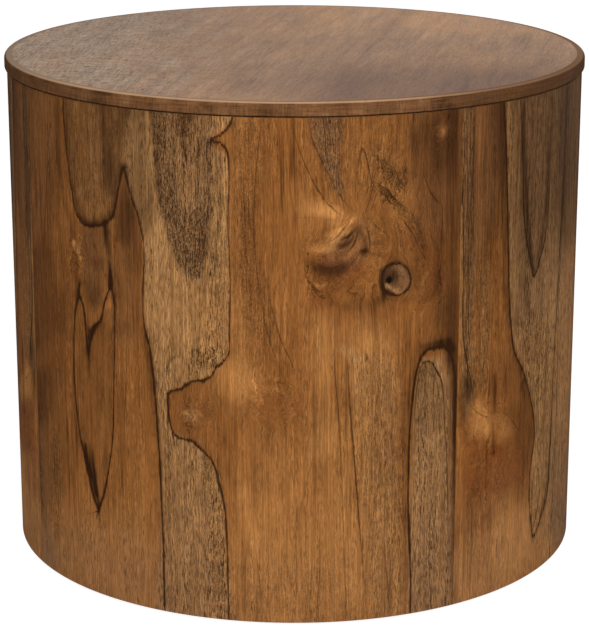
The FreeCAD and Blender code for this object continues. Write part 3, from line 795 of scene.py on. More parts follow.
front.zone(10, (304, 244), (330, 232), (352, 222), (372, 216), (384, 240), (386, 262), (372, 292),
           (340, 304), (312, 296), curl=1)
front.zone(8, (306, 256), (330, 250), (352, 250), (366, 262), (360, 286), (334, 300), (312, 290), red=0.5)
front.zone(6, (326, 240), (350, 226), (364, 214), (376, 236), (370, 262), (340, 272), (322, 262), grey=0.45)
front.zone(7, (308, 262), (326, 258), (346, 260), (358, 270), (350, 286), (328, 294), (311, 284), dusk=0.55)
front.zone(4, (334, 236), (348, 232), (356, 240), (350, 252), (338, 252), dusk=0.45)
front.zone(5, (312, 248), (330, 238), (350, 230), (358, 238), (340, 246), (322, 254), gold=0.7)
front.stroke(6, (296, 208, 0.3), (318, 210, 1), (338, 215), (352, 218, 0.6), gold=0.4)
front.stroke(1.5, (292, 218, 0.4), (312, 218, 1), (334, 220), (348, 222, 0.5), dusk=0.5)
front.stroke(7, (309, 262, 0.6), (318, 268, 1), (328, 271), (340, 270), (350, 262, 0.6), dusk=0.7)
front.stroke(4, (334, 244, 0.5), (344, 246, 1), (354, 238), (360, 228, 0.6), dusk=0.75)
front.stroke(5, (360, 226, 0.5), (363, 240, 1), (364, 252), (360, 262, 0.7), dusk=0.7)
front.stroke(4, (362, 252), (372, 252), (384, 256, 0.6), (400, 258, 0.3), dusk=0.4)
front.stroke(3, (368, 238, 0.6), (376, 244, 1), (384, 240, 0.5), dusk=0.5)
front.stroke(7, (312, 290, 0.5), (330, 302, 1), (352, 306), (376, 302), (384, 296, 0.5), dusk=0.55)
front.stroke(5, (312, 250, 0.6), (326, 250, 1), (338, 240, 0.7), gold=0.7)
front.stroke(3.5, (326, 236, 0.6), (338, 234, 1), (350, 230, 0.6), gold=0.8)
front.stroke(2.5, (343, 262, 0.6), (350, 256, 1), (357, 246, 0.6), gold=0.7)
front.stroke(2, (312, 282, 0.7), (320, 287, 1), (326, 284, 0.6), gold=1.4)
front.stroke(1.5, (310, 290, 0.4), (318, 294, 1), (325, 292, 0.5), gold=0.8)
front.stroke(4, (372, 262), (380, 266, 0.8), (384, 262, 0.5), gold=0.6)
front.stroke(10, (330, 250), (350, 262), (372, 266), (384, 256), red=0.3)
front.stroke(1.6, (334, 231, 0.6), (346, 226, 1), (355, 218, 0.6), gold=1.2)
front.stroke(1.6, (338, 252, 0.6), (348, 247, 1), (355, 239, 0.6), gold=1.2)
front.stroke(1.6, (352, 268, 0.6), (358, 260, 1), (360, 250, 0.6), gold=1)
front.stroke(1.6, (366, 214, 0.6), (371, 226, 1), (373, 240, 0.6), gold=0.9)
front.stroke(1.4, (341, 240, 0.6), (350, 235, 1), (356, 228, 0.6), dusk=1.2)
front.stroke(2, (357, 256, 0.6), (364, 250, 1), (372, 254, 0.6), dusk=0.4)
front.stroke(1.6, (362, 232, 0.4), (366, 244, 1), (364, 256, 0.6), dusk=0.6)
front.stroke(12, (312, 300), (340, 316), (372, 314), (400, 306), red=0.45)
front.stroke(16, (312, 300), (340, 310), (372, 308), (430, 310), fleck=-0.3)
front.spot(340, 224, 10, 4, gold=0.5)

# The knot, the ring round it and the folds beside it.
knot_ring = [(396.5 + 14.5 * math.cos(turn), 279 + 16 * math.sin(turn), 2.1 + 0.7 * math.cos(turn - 2.9))
             for turn in np.linspace(0, 2 * math.pi, 17)]
front.line(*knot_ring, halo=0.3)
front.knot("bent", 396, 279, 12)
front.fine_line((378, 184, 0.8), (386, 189, 1.3), (393, 197, 1.4), (400, 205, 1.3), (407, 214, 0.8))
front.fine_line((396, 200, 0.5), (404, 207, 1.1), (413, 215, 1), (420, 226, 0.5))
front.fine_line((376, 190, 0.6), (384, 194, 1.3), (390, 202, 1.2), (397, 206, 0.6))
front.fine_line((398, 212, 0.4), (406, 224, 1), (415, 238), (421, 254, 0.5))
front.fine_line((404, 208, 0.4), (412, 218, 1), (420, 232), (426, 248, 0.5))
front.fine_line((384, 262, 0.4), (380, 272, 1), (380, 286, 1.1), (386, 298, 1), (398, 301, 0.6))
front.zone(8, (376, 206), (396, 208), (404, 250), (384, 262), dusk=0.3)
front.zone(6, (412, 256), (424, 262), (424, 290), (410, 290), dusk=0.3)
front.zone(8, (374, 158), (396, 154), (410, 172), (420, 214), (430, 250), (420, 262), (396, 232), (374, 200),
           curl=0.45)
front.zone(8, (410, 262), (436, 262), (440, 300), (410, 314), curl=0.7)
front.zone(8, (376, 212), (396, 222), (416, 250), (420, 300), (404, 262), (384, 240), dusk=0.35)
front.zone(5, (374, 286), (398, 302), (396, 312), (374, 306), dusk=0.3)
front.zone(2.5, (383, 268), (396, 263), (410, 270), (411, 286), (400, 294), (386, 292), (381, 282), grey=0.8,
           fleck=0.4)
front.zone(4, (383, 270), (394, 266), (402, 280), (398, 292), (386, 292), (381, 282), dusk=0.6)
front.stroke(11, (376, 188), (394, 202), (412, 224), (424, 250), fleck=0.4)
front.stroke(6, (386, 190), (398, 206), (412, 224), (420, 240, 0.6), dusk=0.25)
front.stroke(3, (384, 300, 0.5), (384, 290, 1), (382, 282), (384, 272, 0.7), dusk=0.7)
glint = [(386, 285, 0.5), (389, 288.5, 1), (394, 291), (400, 291, 0.6)]
front.stroke(1.8, *glint, dusk=-2.4)
front.stroke(1.6, *glint, knot=-1.2)
front.stroke(1.5, (386, 285, 0.5), (389, 288.5, 1), (394, 291), (400, 291, 0.5), gold=3.4)
front.stroke(2, (388, 268, 0.7), (396, 263, 1), (406, 268), (410, 278, 0.7), dusk=0.7)
front.stroke(10, (404, 240), (424, 250), (434, 280), (430, 310, 0.5), red=0.45)
front.spot(389, 280, 4.5, 4.5, knot=1.1)
front.spot(393, 276, 8, 8, dusk=0.7)

# The low middle.
front.fine_line((318, 500, 0.3), (320, 560, 0.8), (318, 600), (319, 631, 0.7))
front.fine_line((299, 470, 0.3), (296, 530, 0.7), (297, 580, 0.8), (293, 631, 0.7))
front.fine_line((270, 520, 0.3), (268, 570, 0.7), (266, 631))
front.zone(16, (238, 560), (344, 560), (348, 640), (238, 640), fleck=0.3)
front.zone(12, (222, 368), (240, 362), (256, 376), (250, 394), (228, 394), gold=0.75)
front.zone(14, (310, 326), (330, 318), (336, 380), (332, 440), (318, 452), (310, 400), gold=0.75)
front.zone(24, (238, 470), (262, 440), (320, 440), (334, 480), (336, 640), (238, 640), gold=0.4)
front.zone(10, (246, 384), (276, 376), (300, 388), (300, 416), (270, 430), (246, 416), curl=0.6)
front.zone(12, (306, 304), (336, 310), (344, 360), (340, 380), (312, 370), (304, 350), gold=0.25)
front.stroke(12, (252, 404, 0.6), (276, 408, 1), (296, 402, 0.6), red=0.6)
front.stroke(12, (300, 470, 0.5), (308, 500, 1), (304, 530, 0.5), red=0.4)
front.stroke(10, (262, 440, 0.3), (290, 452, 1), (306, 440, 0.3), dusk=0.25)
front.stroke(6, (240, 480, 0.4), (250, 520, 1), (262, 560, 0.4), gold=0.4)
front.stroke(4, (256, 520, 0.3), (258, 570, 1), (257, 620, 0.6), dusk=0.35)
front.stroke(4, (317, 540, 0.3), (318, 590, 1), (317, 625, 0.6), dusk=0.3)
front.stroke(3, (262, 392, 0.4), (276, 390, 1), (288, 396, 0.5), gold=0.4)
front.stroke(3, (250, 400, 0.5), (268, 416, 1), (286, 416), (296, 404, 0.5), dusk=0.35)

# The greyer strip left of the arch.
front.fine_line((334.8, 340, 0.3), (335.5, 378, 0.9), (339, 420, 1), (341, 460, 0.9), (342.4, 500, 0.8),
                (344, 550), (345.4, 590, 0.9), (346, 628, 0.8))
front.fine_line((346.6, 352, 0.5), (348.6, 380, 1), (350.4, 412, 1.1), (353.4, 447, 1.2), (356.4, 485),
                (359.8, 531, 1.1), (364, 578, 0.8), (368, 624, 0.6))
front.fine_line((386, 436, 0.3), (386, 480, 0.7), (384, 540, 0.8), (388, 590), (390, 624, 0.7))
front.zone(10, (342, 350), (370, 346), (396, 356), (404, 400), (404, 540), (406, 632), (370, 632),
           (362, 560), (356, 490), (350, 430), sap=0.5)
front.zone(8, (360, 352), (384, 346), (400, 362), (403, 400), (403, 540), (406, 632), (372, 632), (364, 560),
           (358, 490), (354, 430), fleck=0.36)
front.zone(14, (350, 322), (384, 330), (400, 350), (380, 366), (352, 352), gold=0.5)
front.zone(6, (324, 308), (348, 308), (348, 334), (324, 334), dusk=0.22)
front.zone(10, (336, 420), (372, 440), (374, 600), (340, 600), (332, 500), gold=0.4)
front.zone(14, (346, 300), (384, 306), (398, 350), (388, 420), (352, 440), gold=0.45)
front.stroke(2, (356, 430, 0.5), (352, 400, 1), (348, 360, 0.4), dusk=0.3)
front.stroke(3, (354, 470, 0.5), (358, 520, 1), (362, 566, 0.6), dusk=0.6)
front.stroke(8, (328, 342, 0.5), (346, 350, 1), (362, 360, 0.5), sap=0.35)

# The arch.
front.zone(4, (412, 440), (415, 386), (420, 362), (428, 356), (438, 362), (445, 384), (448, 440), (449, 530),
           (447, 640), (412, 640), (410, 530), sap=0.72)
front.zone(5, (436, 356), (446, 352), (453, 372), (456, 430), (457, 640), (447, 640), (449, 500), (446, 400),
           sap=0.45)
front.zone(4, (413, 440), (416, 388), (421, 366), (431, 362), (440, 378), (443, 402), (445, 440), (447, 495),
           (447, 640), (412, 640), (411, 530), fleck=0.3)
front.zone(4, (413, 440), (416, 388), (421, 366), (431, 362), (440, 378), (443, 402), (441, 430), (426, 436),
           dusk=0.35)
front.zone(10, (412, 500), (446, 480), (448, 640), (412, 640), red=0.2)
front.zone(3, (428, 353), (444, 352), (450, 372), (452, 420), (450, 500), (447, 500), (446, 430), (443, 384),
           (436, 362), gold=0.35)
front.zone(10, (400, 350), (460, 350), (460, 440), (404, 450), dusk=0.22)
front.zone(3, (446, 352), (456, 372), (458, 420), (458, 620), (449, 620), (448, 430), dusk=0.6)
front.zone(6, (430, 360), (458, 372), (458, 620), (412, 620), (412, 430), grey=0.5)
front.zone(12, (398, 322), (424, 316), (440, 300), (458, 296), (458, 366), (452, 350), (430, 344),
           (414, 360), dusk=0.25)
front.stroke(3, (405, 380, 0.4), (404, 430, 1), (404, 500), (405, 590, 0.7), dusk=0.55)
front.stroke(2.5, (454, 380, 0.5), (454.5, 450, 1), (455, 540), (454, 610), dusk=0.6)
front.stroke(3, (420, 347), (430, 344), (446, 341), (454, 349), dusk=0.35)
front.stroke(1.2, (441, 347), (441, 341, 0.5), (441.4, 334, 0.2), dusk=0.6)
front.stroke(1.2, (447, 349), (447.4, 342, 0.5), (447.8, 336, 0.2), dusk=0.6)

# Low on the leaf the wood is painted paler, a painted light thrown up from the floor, and it is greyer.
front.zones.append(("gold", [(-400, -300), (400, -300), (400, 110), (-400, 110)], 100, 0.45))
front.zones.append(("grey", [(-400, -300), (400, -300), (400, 60), (-400, 60)], 60, 0.35))

# The right leaf's figure: dark streaks beside the seam, a long pointed fold, a narrow wedge inside it
# and reddish knots at its foot.
right = Figure()
# The long pointed fold, down its left side and up its right.
long_fold = [(503.5, 96, 2), (505.5, 130), (507.2, 185), (508.3, 243), (509.3, 300), (511.2, 328, 1.8),
             (514, 350), (519, 362, 1.7), (524, 374, 1.5), (529, 392, 1.3), (532.5, 410, 1.5),
             (534.3, 428, 1.7), (534, 441, 1.6), (531.6, 458, 1.5), (529.6, 475), (529.3, 502, 1.4),
             (530.6, 520, 1.6), (532.8, 536, 2), (537, 528, 1.8), (542, 512, 2.1), (546, 498, 2.4),
             (548, 484, 2.5), (549, 464, 2.4), (550.6, 435, 2.2), (551.8, 407, 1.9), (553, 378, 1.4),
             (554.3, 352), (557.2, 300, 1.5), (559, 261, 1.4), (561, 223), (563, 185, 1.3), (564.8, 147),
             (566.8, 90, 1.2)]
right.line(*long_fold, halo=-0.4)

# The streaks beside the seam.
right.fine_line((462.3, 106, 1.2), (462.3, 170, 1.3), (463.6, 250, 1.2), (463, 330, 1.3), (467, 362, 1.4),
                (471, 384, 1.3), (474, 402, 0.6))
right.fine_line((466.5, 106, 0.8), (467.4, 180, 1.1), (468.4, 260, 1), (468.6, 330), (472, 366, 0.6))
right.fine_line((470.4, 106, 0.6), (471, 190, 0.9), (472, 290, 0.8), (472, 350, 0.5))
right.fine_line((474.8, 102, 1.3), (474.2, 140, 1.1), (473.4, 200, 0.9), (474.2, 290, 0.8),
                (474.4, 340, 0.5))
right.fine_line((500.4, 106, 1.1), (501, 170, 0.8), (503, 240, 0.9), (504, 310, 0.7))
right.fine_line((477, 108, 0.3), (478, 200, 0.6), (479, 300, 0.8), (482, 380, 0.5))
right.fine_line((486, 250, 0.3), (487, 320, 0.7), (485, 372, 0.5))
right.zone(6, (461, 96), (500, 96), (498, 200), (480, 260), (461, 260), grey=0.45)
right.zone(8, (459, 96), (500, 96), (500, 220), (482, 260), (459, 260), dusk=0.35)
right.zone(8, (477, 90), (500, 90), (502, 240), (498, 320), (480, 320), dusk=0.35)
right.zone(3, (459, 96), (475, 96), (475, 200), (474, 340), (476, 392), (461, 402), sap=0.55)
right.zone(3, (461.5, 96), (475, 96), (475, 200), (474, 330), (474, 384), (464, 380), dusk=0.55)
right.zone(3, (461.5, 96), (474, 96), (474, 200), (473, 340), (474, 390), (464, 384), fleck=0.45)
right.zone(6, (476, 260), (490, 260), (490, 380), (478, 384), sap=0.4, fleck=0.5)
right.zone(3, (458, 300), (466, 300), (466, 440), (458, 440), dusk=0.35)
right.stroke(1.5, (459.5, 100), (460, 200), (460, 300), (460, 420), (461, 600), gold=0.5)

# The pointed fold and the wedge in it.
right.fine_line((520.5, 100), (522.5, 150, 1.3), (523.6, 190, 1.4), (524, 216, 1.6), (526.5, 239, 1.8),
                (530.7, 262, 2.2), (534, 277, 2.4), (539.8, 260, 1.8), (544.8, 239, 1.5), (547.6, 214, 1.2),
                (549.8, 185, 1), (551.6, 138, 0.9), (553, 96, 0.8), halo=0.25)
right.zone(4, (506, 84), (508.5, 250), (510.5, 326), (520, 364), (531, 400), (534.3, 430), (530, 475),
           (530, 520), (533, 538), (547, 492), (553, 380), (560, 240), (567, 84), sap=0.8)
right.zone(14, (506, 60), (508.5, 250), (514, 330), (552, 350), (548, 500), (560, 560), (600, 500),
           (600, 60), grey=0.6)
wedge = [(521, 96), (524, 215), (528, 250), (534, 276), (546, 232), (549, 185), (553, 90)]
right.zone(4, *wedge, dusk=0.12)
right.zone(5, (509, 90), (522, 90), (526, 240), (530, 300), (516, 330), (511, 250), dusk=0.35)
right.zone(5, *wedge, fleck=0.2)
right.zone(6, (510, 96), (512, 250), (518, 300), (521, 250), (518, 96), gold=0.35)
right.zone(8, (514, 320), (523, 364), (533, 400), (548, 396), (550, 330), (530, 310), fleck=0.6)
right.zone(4, (498, 92), (506, 92), (508.6, 250), (510, 330), (504, 330), (501, 220), dusk=0.3)
right.zone(6, (506, 290), (516, 300), (518, 350), (510, 340), dusk=0.25)
right.stroke(3, (523.5, 110, 0.5), (526, 180, 1), (528, 220), (531, 250), (534, 272), dusk=0.35)
right.stroke(3, (549, 120, 0.4), (547, 190, 1), (543, 230), (537, 260), dusk=0.3)
right.stroke(2, (516, 150, 0.3), (518, 200, 1), (520, 240), (525, 270, 0.5), gold=0.35)
right.stroke(3, (524, 396, 0.6), (522, 384, 1), (527, 376, 0.5), dusk=0.6)
right.stroke(3, (530, 330, 0.4), (540, 360, 1), (551, 340), (556, 300, 0.4), dusk=0.35)

# The knots at its foot.
right.fine_line((468, 400, 0.4), (474, 410, 0.9), (484, 416), (494, 418, 0.6))
right.fine_line((498, 408, 0.4), (508, 416, 0.8), (516, 426), (522, 436, 0.4))
right.zone(4, (461, 384), (474, 384), (474, 434), (461, 434), dusk=0.3)
right.zone(8, (466, 398), (488, 396), (512, 404), (524, 440), (522, 480), (496, 500), (468, 500), (462, 440),
           curl=0.6)
right.zone(9, (468, 402), (480, 398), (490, 408), (491, 434), (474, 436), (468, 424), gold=0.95)
right.zone(9, (499, 416), (508, 418), (514, 428), (509, 438), (500, 442), gold=0.8)
right.zone(10, (462, 440), (490, 440), (524, 440), (528, 480), (496, 498), (464, 500), red=0.75)
right.zone(12, (462, 400), (526, 400), (528, 480), (500, 510), (464, 510), fleck=-0.3)
right.zone(6, (458, 372), (480, 376), (478, 404), (464, 420), (458, 420), dusk=0.36)
right.zone(8, (500, 410), (522, 410), (524, 500), (502, 505), dusk=0.25)
right.zone(8, (500, 336), (516, 350), (528, 384), (532, 430), (528, 470), (512, 440), (504, 390), dusk=0.5)
right.zone(10, (494, 498), (510, 492), (526, 510), (530, 560), (496, 570), gold=0.5)
right.stroke(3.4, (495, 374, 0.5), (495, 388, 1), (494.5, 410, 0.7), dusk=1.1)
right.stroke(6, (494, 366, 0.5), (495, 390, 1), (494, 406), red=0.9)
right.stroke(1.6, (493, 420, 0.6), (493, 436, 1), (494, 452), dusk=1)
right.stroke(2, (486, 406, 0.6), (491, 414, 1), (500, 410, 0.5), dusk=0.6)
right.stroke(2, (466, 446, 0.5), (474, 441, 1), (484, 442, 0.4), dusk=0.6)
right.stroke(2.5, (462, 476, 0.6), (476, 468, 1), (488, 456, 0.7), (494, 452, 0.6), dusk=0.45)
right.stroke(2, (486, 500, 0.4), (488, 510, 1), (485, 524, 0.4), dusk=0.5)
right.spot(494, 453, 2.4, 2.6, knot=0.7)
right.spot(494, 450, 7, 7, red=0.9)
right.spot(478, 486, 16, 16, dusk=0.3)
right.spot(475, 466, 5, 3, gold=0.5)
right.spot(468, 492, 5, 3, gold=0.5)
right.spot(487, 430, 4, 8, gold=0.4)

# The fold's end.
right.fine_line((535.6, 464, 0.8), (532.6, 484, 1.1), (531.6, 506), (532.2, 530), (536, 514, 1.2),
                (539.4, 492), (538, 472, 1.1), (535.6, 464, 0.8))
right.zone(8, (524, 384), (548, 384), (548, 436), (524, 436), dusk=0.2)
right.zone(10, (440, 548), (560, 480), (600, 560), (480, 640), gold=0.5)
right.zone(6, (536, 440), (552, 380), (550, 440), (548, 490), (538, 530), dusk=0.35)
right.stroke(2.6, (551, 380, 0.4), (549.5, 430, 1), (547.5, 480), (540, 516), dusk=0.6)
right.stroke(1.8, (533.6, 452, 0.5), (540, 470, 1), (541, 490), (535, 528, 0.6), gold=0.6)

# The limb.
right.fine_line((572, 78, 0.6), (571.6, 180, 0.9), (569, 300, 0.8), (566, 420, 0.7), (561, 520, 0.5))
right.zone(6, (567, 74), (560, 240), (553, 380), (548, 490), (534, 545), (560, 570), (590, 520), (589, 74),
           sap=0.85)
# Painted sheen and shade: the limb is painted paler low down, where the drum's edge catches the light, and
# darker high up, where the light falls off.
right.zone(10, (556, 290), (600, 250), (600, 540), (556, 560), gold=0.45)
right.zone(16, (556, 60), (575, 60), (575, 230), (556, 230), dusk=0.3)
right.zone(22, (556, 330), (590, 300), (590, 540), (548, 560), gold=0.35)
right.stroke(3, (552, 490, 0.4), (556, 512, 1), (564, 520), (572, 500, 0.4), dusk=0.5)
right.stroke(3, (555, 452, 0.5), (558, 470, 1), (566, 474, 0.5), dusk=0.4)

# Towards its top the leaf is painted darker in three soft steps, a painted shade where the light falls off
# round the drum, and low on it the wood is painted paler, a painted light thrown up from the floor, and it
# is greyer.
for strength, seen, beyond in (
    (0.26, picked((506, 60), (508.5, 215), (530, 240), (556, 235)),
     [(450, 400), (480, 450), (500, 560), (430, 560)]),
    (0.28, picked((506, 60), (508.5, 275), (530, 300), (556, 275)),
     [(470, 350), (540, 420), (560, 560), (430, 560)]),
    (0.26, picked((506, 60), (508.5, 300), (511, 325), (530, 350), (556, 310)),
     [(480, 280), (580, 330), (640, 420), (640, 560), (430, 560)]),
):
    right.zones.append(("dusk", seen + beyond, 30, strength))
right.zones.append(("gold", [(100, -300), (500, -300), (500, 60), (100, 60)], 80, 0.35))
right.zones.append(("grey", [(100, -300), (500, -300), (500, 70), (100, 70)], 60, 0.6))

# What the photograph doesn't show of this leaf follows the same habit.
for offset in (0, 60, 128, 190):
    right.fine_lines.append(([(330 + offset, 0, 1), (338 + offset, 150, 1.3), (334 + offset, 300, 1.1),
                              (342 + offset, 420, 1), (339 + offset, 510, 0.9)], 0.2))
right.lines.append(([(420, 0, 1.4), (424, 120, 1.5), (432, 240, 1.8), (440, 290, 2.2), (452, 310, 2.6),
                     (464, 286, 2), (470, 244, 1.6), (480, 120, 1.4), (484, 0, 1.2)], -0.5))
right.lines.append(([(560, 510, 1.2), (563, 380, 1.3), (570, 250, 1.5), (576, 206, 1.8), (584, 190, 2.4),
                     (592, 214, 1.9), (598, 262, 1.5), (604, 390, 1.3), (608, 510, 1.2)], -0.5))
right.zones += [
    ("sap", [(424, 0), (428, 120), (436, 240), (452, 300), (466, 244), (476, 120), (480, 0)], 5, 0.85),
    ("fleck", [(436, 0), (440, 120), (452, 270), (464, 120), (468, 0)], 6, 0.7),
    ("sap", [(500, 0), (505, 250), (500, 510), (560, 510), (565, 350), (580, 190), (560, 0)], 10, 0.7),
    ("sap", [(606, 0), (602, 250), (610, 510), (660, 510), (660, 0)], 10, 0.6),
    ("gold", [(350, 380), (380, 420), (400, 380), (390, 300), (360, 300)], 24, 0.6),
]
right.strokes += [
    ("dusk", [(404, 0), (408, 200), (414, 400), (410, 510)], 9, 0.5),
    ("dusk", [(532, 60, 0.4), (540, 150), (536, 240, 0.4)], 8, 0.5),
]

CURL_ACROSS = 34.0
CURL_ALONG = 90.0
LEAF_TONES = {
    "heart_pale": paint(168, 110, 58),
    "heart": paint(136, 85, 41),
    "heart_deep": paint(74, 42, 18),
    "sap_pale": paint(178, 131, 82),
    "sap": paint(134, 94, 56),
    "sap_deep": paint(58, 37, 20),
    "gold": paint(190, 130, 72),
    "red": paint(112, 58, 26),
    "grey": paint(132, 99, 73),
    "growth_line": paint(48, 27, 13),
    "knot_core": paint(22, 13, 8),
}


def leaf_material(name, seed):
    """Teak veneer whose figure comes from the attributes that are drawn on the leaf."""
    material, start = begin(name)

    def drawn(name, output):
        """An attribute of the leaf."""
        return start.node("Attribute", {"attribute_name": name}, output=output)

    across, along, _ = drawn("grain", "Vector").axes()
    sap, fleck, gold, dusk, red, grey, knot, curl = [drawn(tone, "Fac") for tone in TONES]

    # Round the knots the grain curls.
    aside = start.marks(across, along, 11.0, 11.0, seed=seed + 10.5, detail=3.0) - 0.5
    upward = start.marks(across, along, 11.0, 11.0, seed=seed + 11.5, detail=3.0) - 0.5
    curled_across = across + curl * aside * CURL_ACROSS
    curled_along = along + curl * upward * CURL_ALONG
    marks = partial(start.marks, curled_across, curled_along)

    spikes = marks(1.5, 12.0, seed=seed + 0.5, detail=3.0, rough=0.7) - 0.5
    sway = marks(6.0, 20.0, seed=seed + 1.5) - 0.5
    fibre = marks(1.0, 9.0, seed=seed + 2.0, detail=2.0, rough=0.7)
    thread = marks(1.4, 60.0, seed=seed + 2.5, detail=3.0, rough=0.65)
    streak = marks(3.4, 190.0, seed=seed + 3.5, detail=3.0, rough=0.6)
    band = marks(15.0, 420.0, seed=seed + 4.5, detail=2.0)
    cloud = marks(40.0, 90.0, seed=seed + 5.5, detail=4.0)
    mottle = marks(9.0, 26.0, seed=seed + 9.5, detail=3.0)
    gnarl = marks(5.0, 7.0, seed=seed + 12.5, detail=4.0, rough=0.65)
    pore = marks(0.7, 7.0, seed=seed + 6.5, detail=2.0, rough=0.6)
    speck = marks(0.75, 2.0, seed=seed + 7.5, detail=2.0)

    # Kinds of wood meet along the grain, in fine points.
    sap = (sap + spikes * 0.5 + sway * 0.3).step(0.2, 0.8)
    tone = thread * 0.2 + streak * 0.3 + band * 0.2 + cloud * 0.3
    heart = tone.step(0.36, 0.50).mix(LEAF_TONES["heart_deep"], LEAF_TONES["heart"])
    heart = tone.step(0.50, 0.68).mix(heart, LEAF_TONES["heart_pale"])
    pale = tone.step(0.38, 0.60).mix(LEAF_TONES["sap"], LEAF_TONES["sap_pale"])
    wood = sap.mix(heart, pale)
    for tint, where, uneven in (("gold", gold, streak), ("red", red, cloud), ("grey", grey, streak)):
        wood = (where * (0.5 + uneven)).step(0.0, 1.6).mix(wood, LEAF_TONES[tint])

    # Faint growth lines between the drawn ones follow a slow field along the grain.
    field = marks(38.0, 520.0, seed=seed + 8.5, detail=1.0)
    ring = abs((field * 26.0 + spikes * 0.2).math("FRACT") - 0.5)
    rings = ring.step(0.34, 0.5) * (0.35 + 0.15 * sap) * thread.step(0.35, 0.6)
    wood = rings.mix(wood, LEAF_TONES["heart_deep"])

    # Open pores: short dark marks, thick in the grey wood and scattered in the heartwood, with pale
    # fibres between them.
    crowd = (0.22 + fleck * 0.55 + sap * 0.35 + (streak - 0.5) * 2.0).math("MAXIMUM", 0.06)
    pores = (pore.step(0.50, 0.60) * crowd).math("MAXIMUM", speck.step(0.47, 0.58) * fleck * 0.85)
    wood = pores.mix(wood, LEAF_TONES["sap_deep"])
    glints = (pore.step(0.47, 0.37) * crowd * 0.4).math("MAXIMUM", speck.step(0.45, 0.35) * fleck * 0.5)
    wood = glints.mix(wood, LEAF_TONES["sap_pale"])
    shade = 1.0 + (fibre - 0.5) * (0.7 + crowd * 1.1) + (thread - 0.5) * 1.2 + (mottle - 0.5) * 0.6
    shade = shade + curl * (gnarl - 0.5) * 1.6
    wood = wood.scaled(shade)
    wood = (dusk * (0.55 + streak * 0.9)).step(0.0, 1.7).mix(wood, LEAF_TONES["growth_line"])
    wood = (knot + spikes * 0.6).step(0.2, 0.8).mix(wood, LEAF_TONES["knot_core"])

    def growth_line(name, jagged, faint, full):
        """A drawn line: jagged where it crosses the grain, now thin, now thick, and fainter if light."""
        distance, weight, slope = drawn(name, "Vector").axes()
        ragged = distance + spikes * (0.8 + jagged * slope) + sway * 1.2
        width = weight * (0.6 + sway * 1.6)
        shape = 1 - (abs(ragged) / width).step(0.1, 1.9)
        return shape * weight.step(faint, full) * (0.5 + thread)

    dark = growth_line("line", 9.0, 0.0, 1.5).math("MAXIMUM", growth_line("fine_line", 5.0, 0.1, 1.6))
    wood = dark.mix(wood, LEAF_TONES["growth_line"])
    height = fibre * 0.4 - pores - dark * 0.5
    finish(start, wood, 0.5 + pores * 0.2 + thread * 0.08, height, 0.00008, Specular_IOR_Level=0.0,
           Coat_Weight=0.03, Coat_Roughness=0.35)
    return material


def veneer_section(under, upper, outer, inner):
    """A leaf's section, with its two outer arrises eased."""
    arris = LEAF_ARRIS / 1000
    return [(inner, under), (outer - arris, under), (outer, under + arris), (outer, upper - arris),
            (outer - arris, upper), (inner, upper)]


# Each leaf's first and last seam, the turns between them past a full one, and its figure.
LEAVES = {
    "front": ("left", "right", 0, front),
    "right": ("right", "right_back", 0, right),
    "back": ("right_back", "left_back", 0, None),
    "left": ("left_back", "left", 1, None),
}
SEAM_WEIGHT = 0.8
SEEDS_APART = 10.0
wall_section = veneer_section(WALL_UNDER, WALL_UPPER, WALL_RADIUS, WALL_RADIUS - VENEER)
rows = round((WALL_UPPER - WALL_UNDER) * 1000 / LEAF_GRID)
for number, (name, (first, last, turns, figure)) in enumerate(LEAVES.items()):
    begins = seams[first]
    ends = seams[last] + turns * 2 * math.pi
    if name == "back":
        figure = front.mirrored((seams["left"] + ends) * WALL_RADIUS * 1000)
    if name == "left":
        figure = right.mirrored((seams["right"] + ends) * WALL_RADIUS * 1000)
    steps = round((ends - begins) * WALL_RADIUS * 1000 / LEAF_GRID)
    shape = section_spun(wall_section, begins, ends - begins, steps)
    upright = [edge for edge in shape.edges
               if min(point.co.xy.length for point in edge.verts) > WALL_RADIUS - VENEER / 2
               and abs(edge.verts[0].co.z - edge.verts[1].co.z) > VENEER * 2]
    bmesh.ops.subdivide_edges(shape, edges=upright, cuts=rows - 1, use_grid_fill=True)
    leaf = piece_of(f"wall_leaf_{name}", shape)
    for edge_at in (begins, ends):
        along = edge_at * WALL_RADIUS * 1000
        joint = [(along, height * 1000, SEAM_WEIGHT) for height in (WALL_UNDER, WALL_UPPER)]
        figure.fine_lines.append((joint, 0))
    drawn_on(leaf, figure, (begins + ends) / 2)
    leaf.data.materials.append(leaf_material(f"teak_leaf_{name}", SEEDS_APART * number))
    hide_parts(f"wall_veneer_{name}")


# The face of the top: one wide leaf of teak veneer with its grain a little off straight, greyer than
# the wall, with pores that show at the left.
TOP_GRAIN_ANGLE = math.radians(-11.0)
TOP_PALE = paint(172, 132, 98)
TOP_MIDDLE = paint(150, 114, 84)
TOP_DEEP = paint(112, 80, 58)
TOP_WARM = paint(164, 122, 84)
TOP_GREY = paint(160, 136, 114)
TOP_STREAK_AT = 76.0
TOP_STREAK_WIDTH = 20.0
CORE_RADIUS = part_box("top_core")[1].x

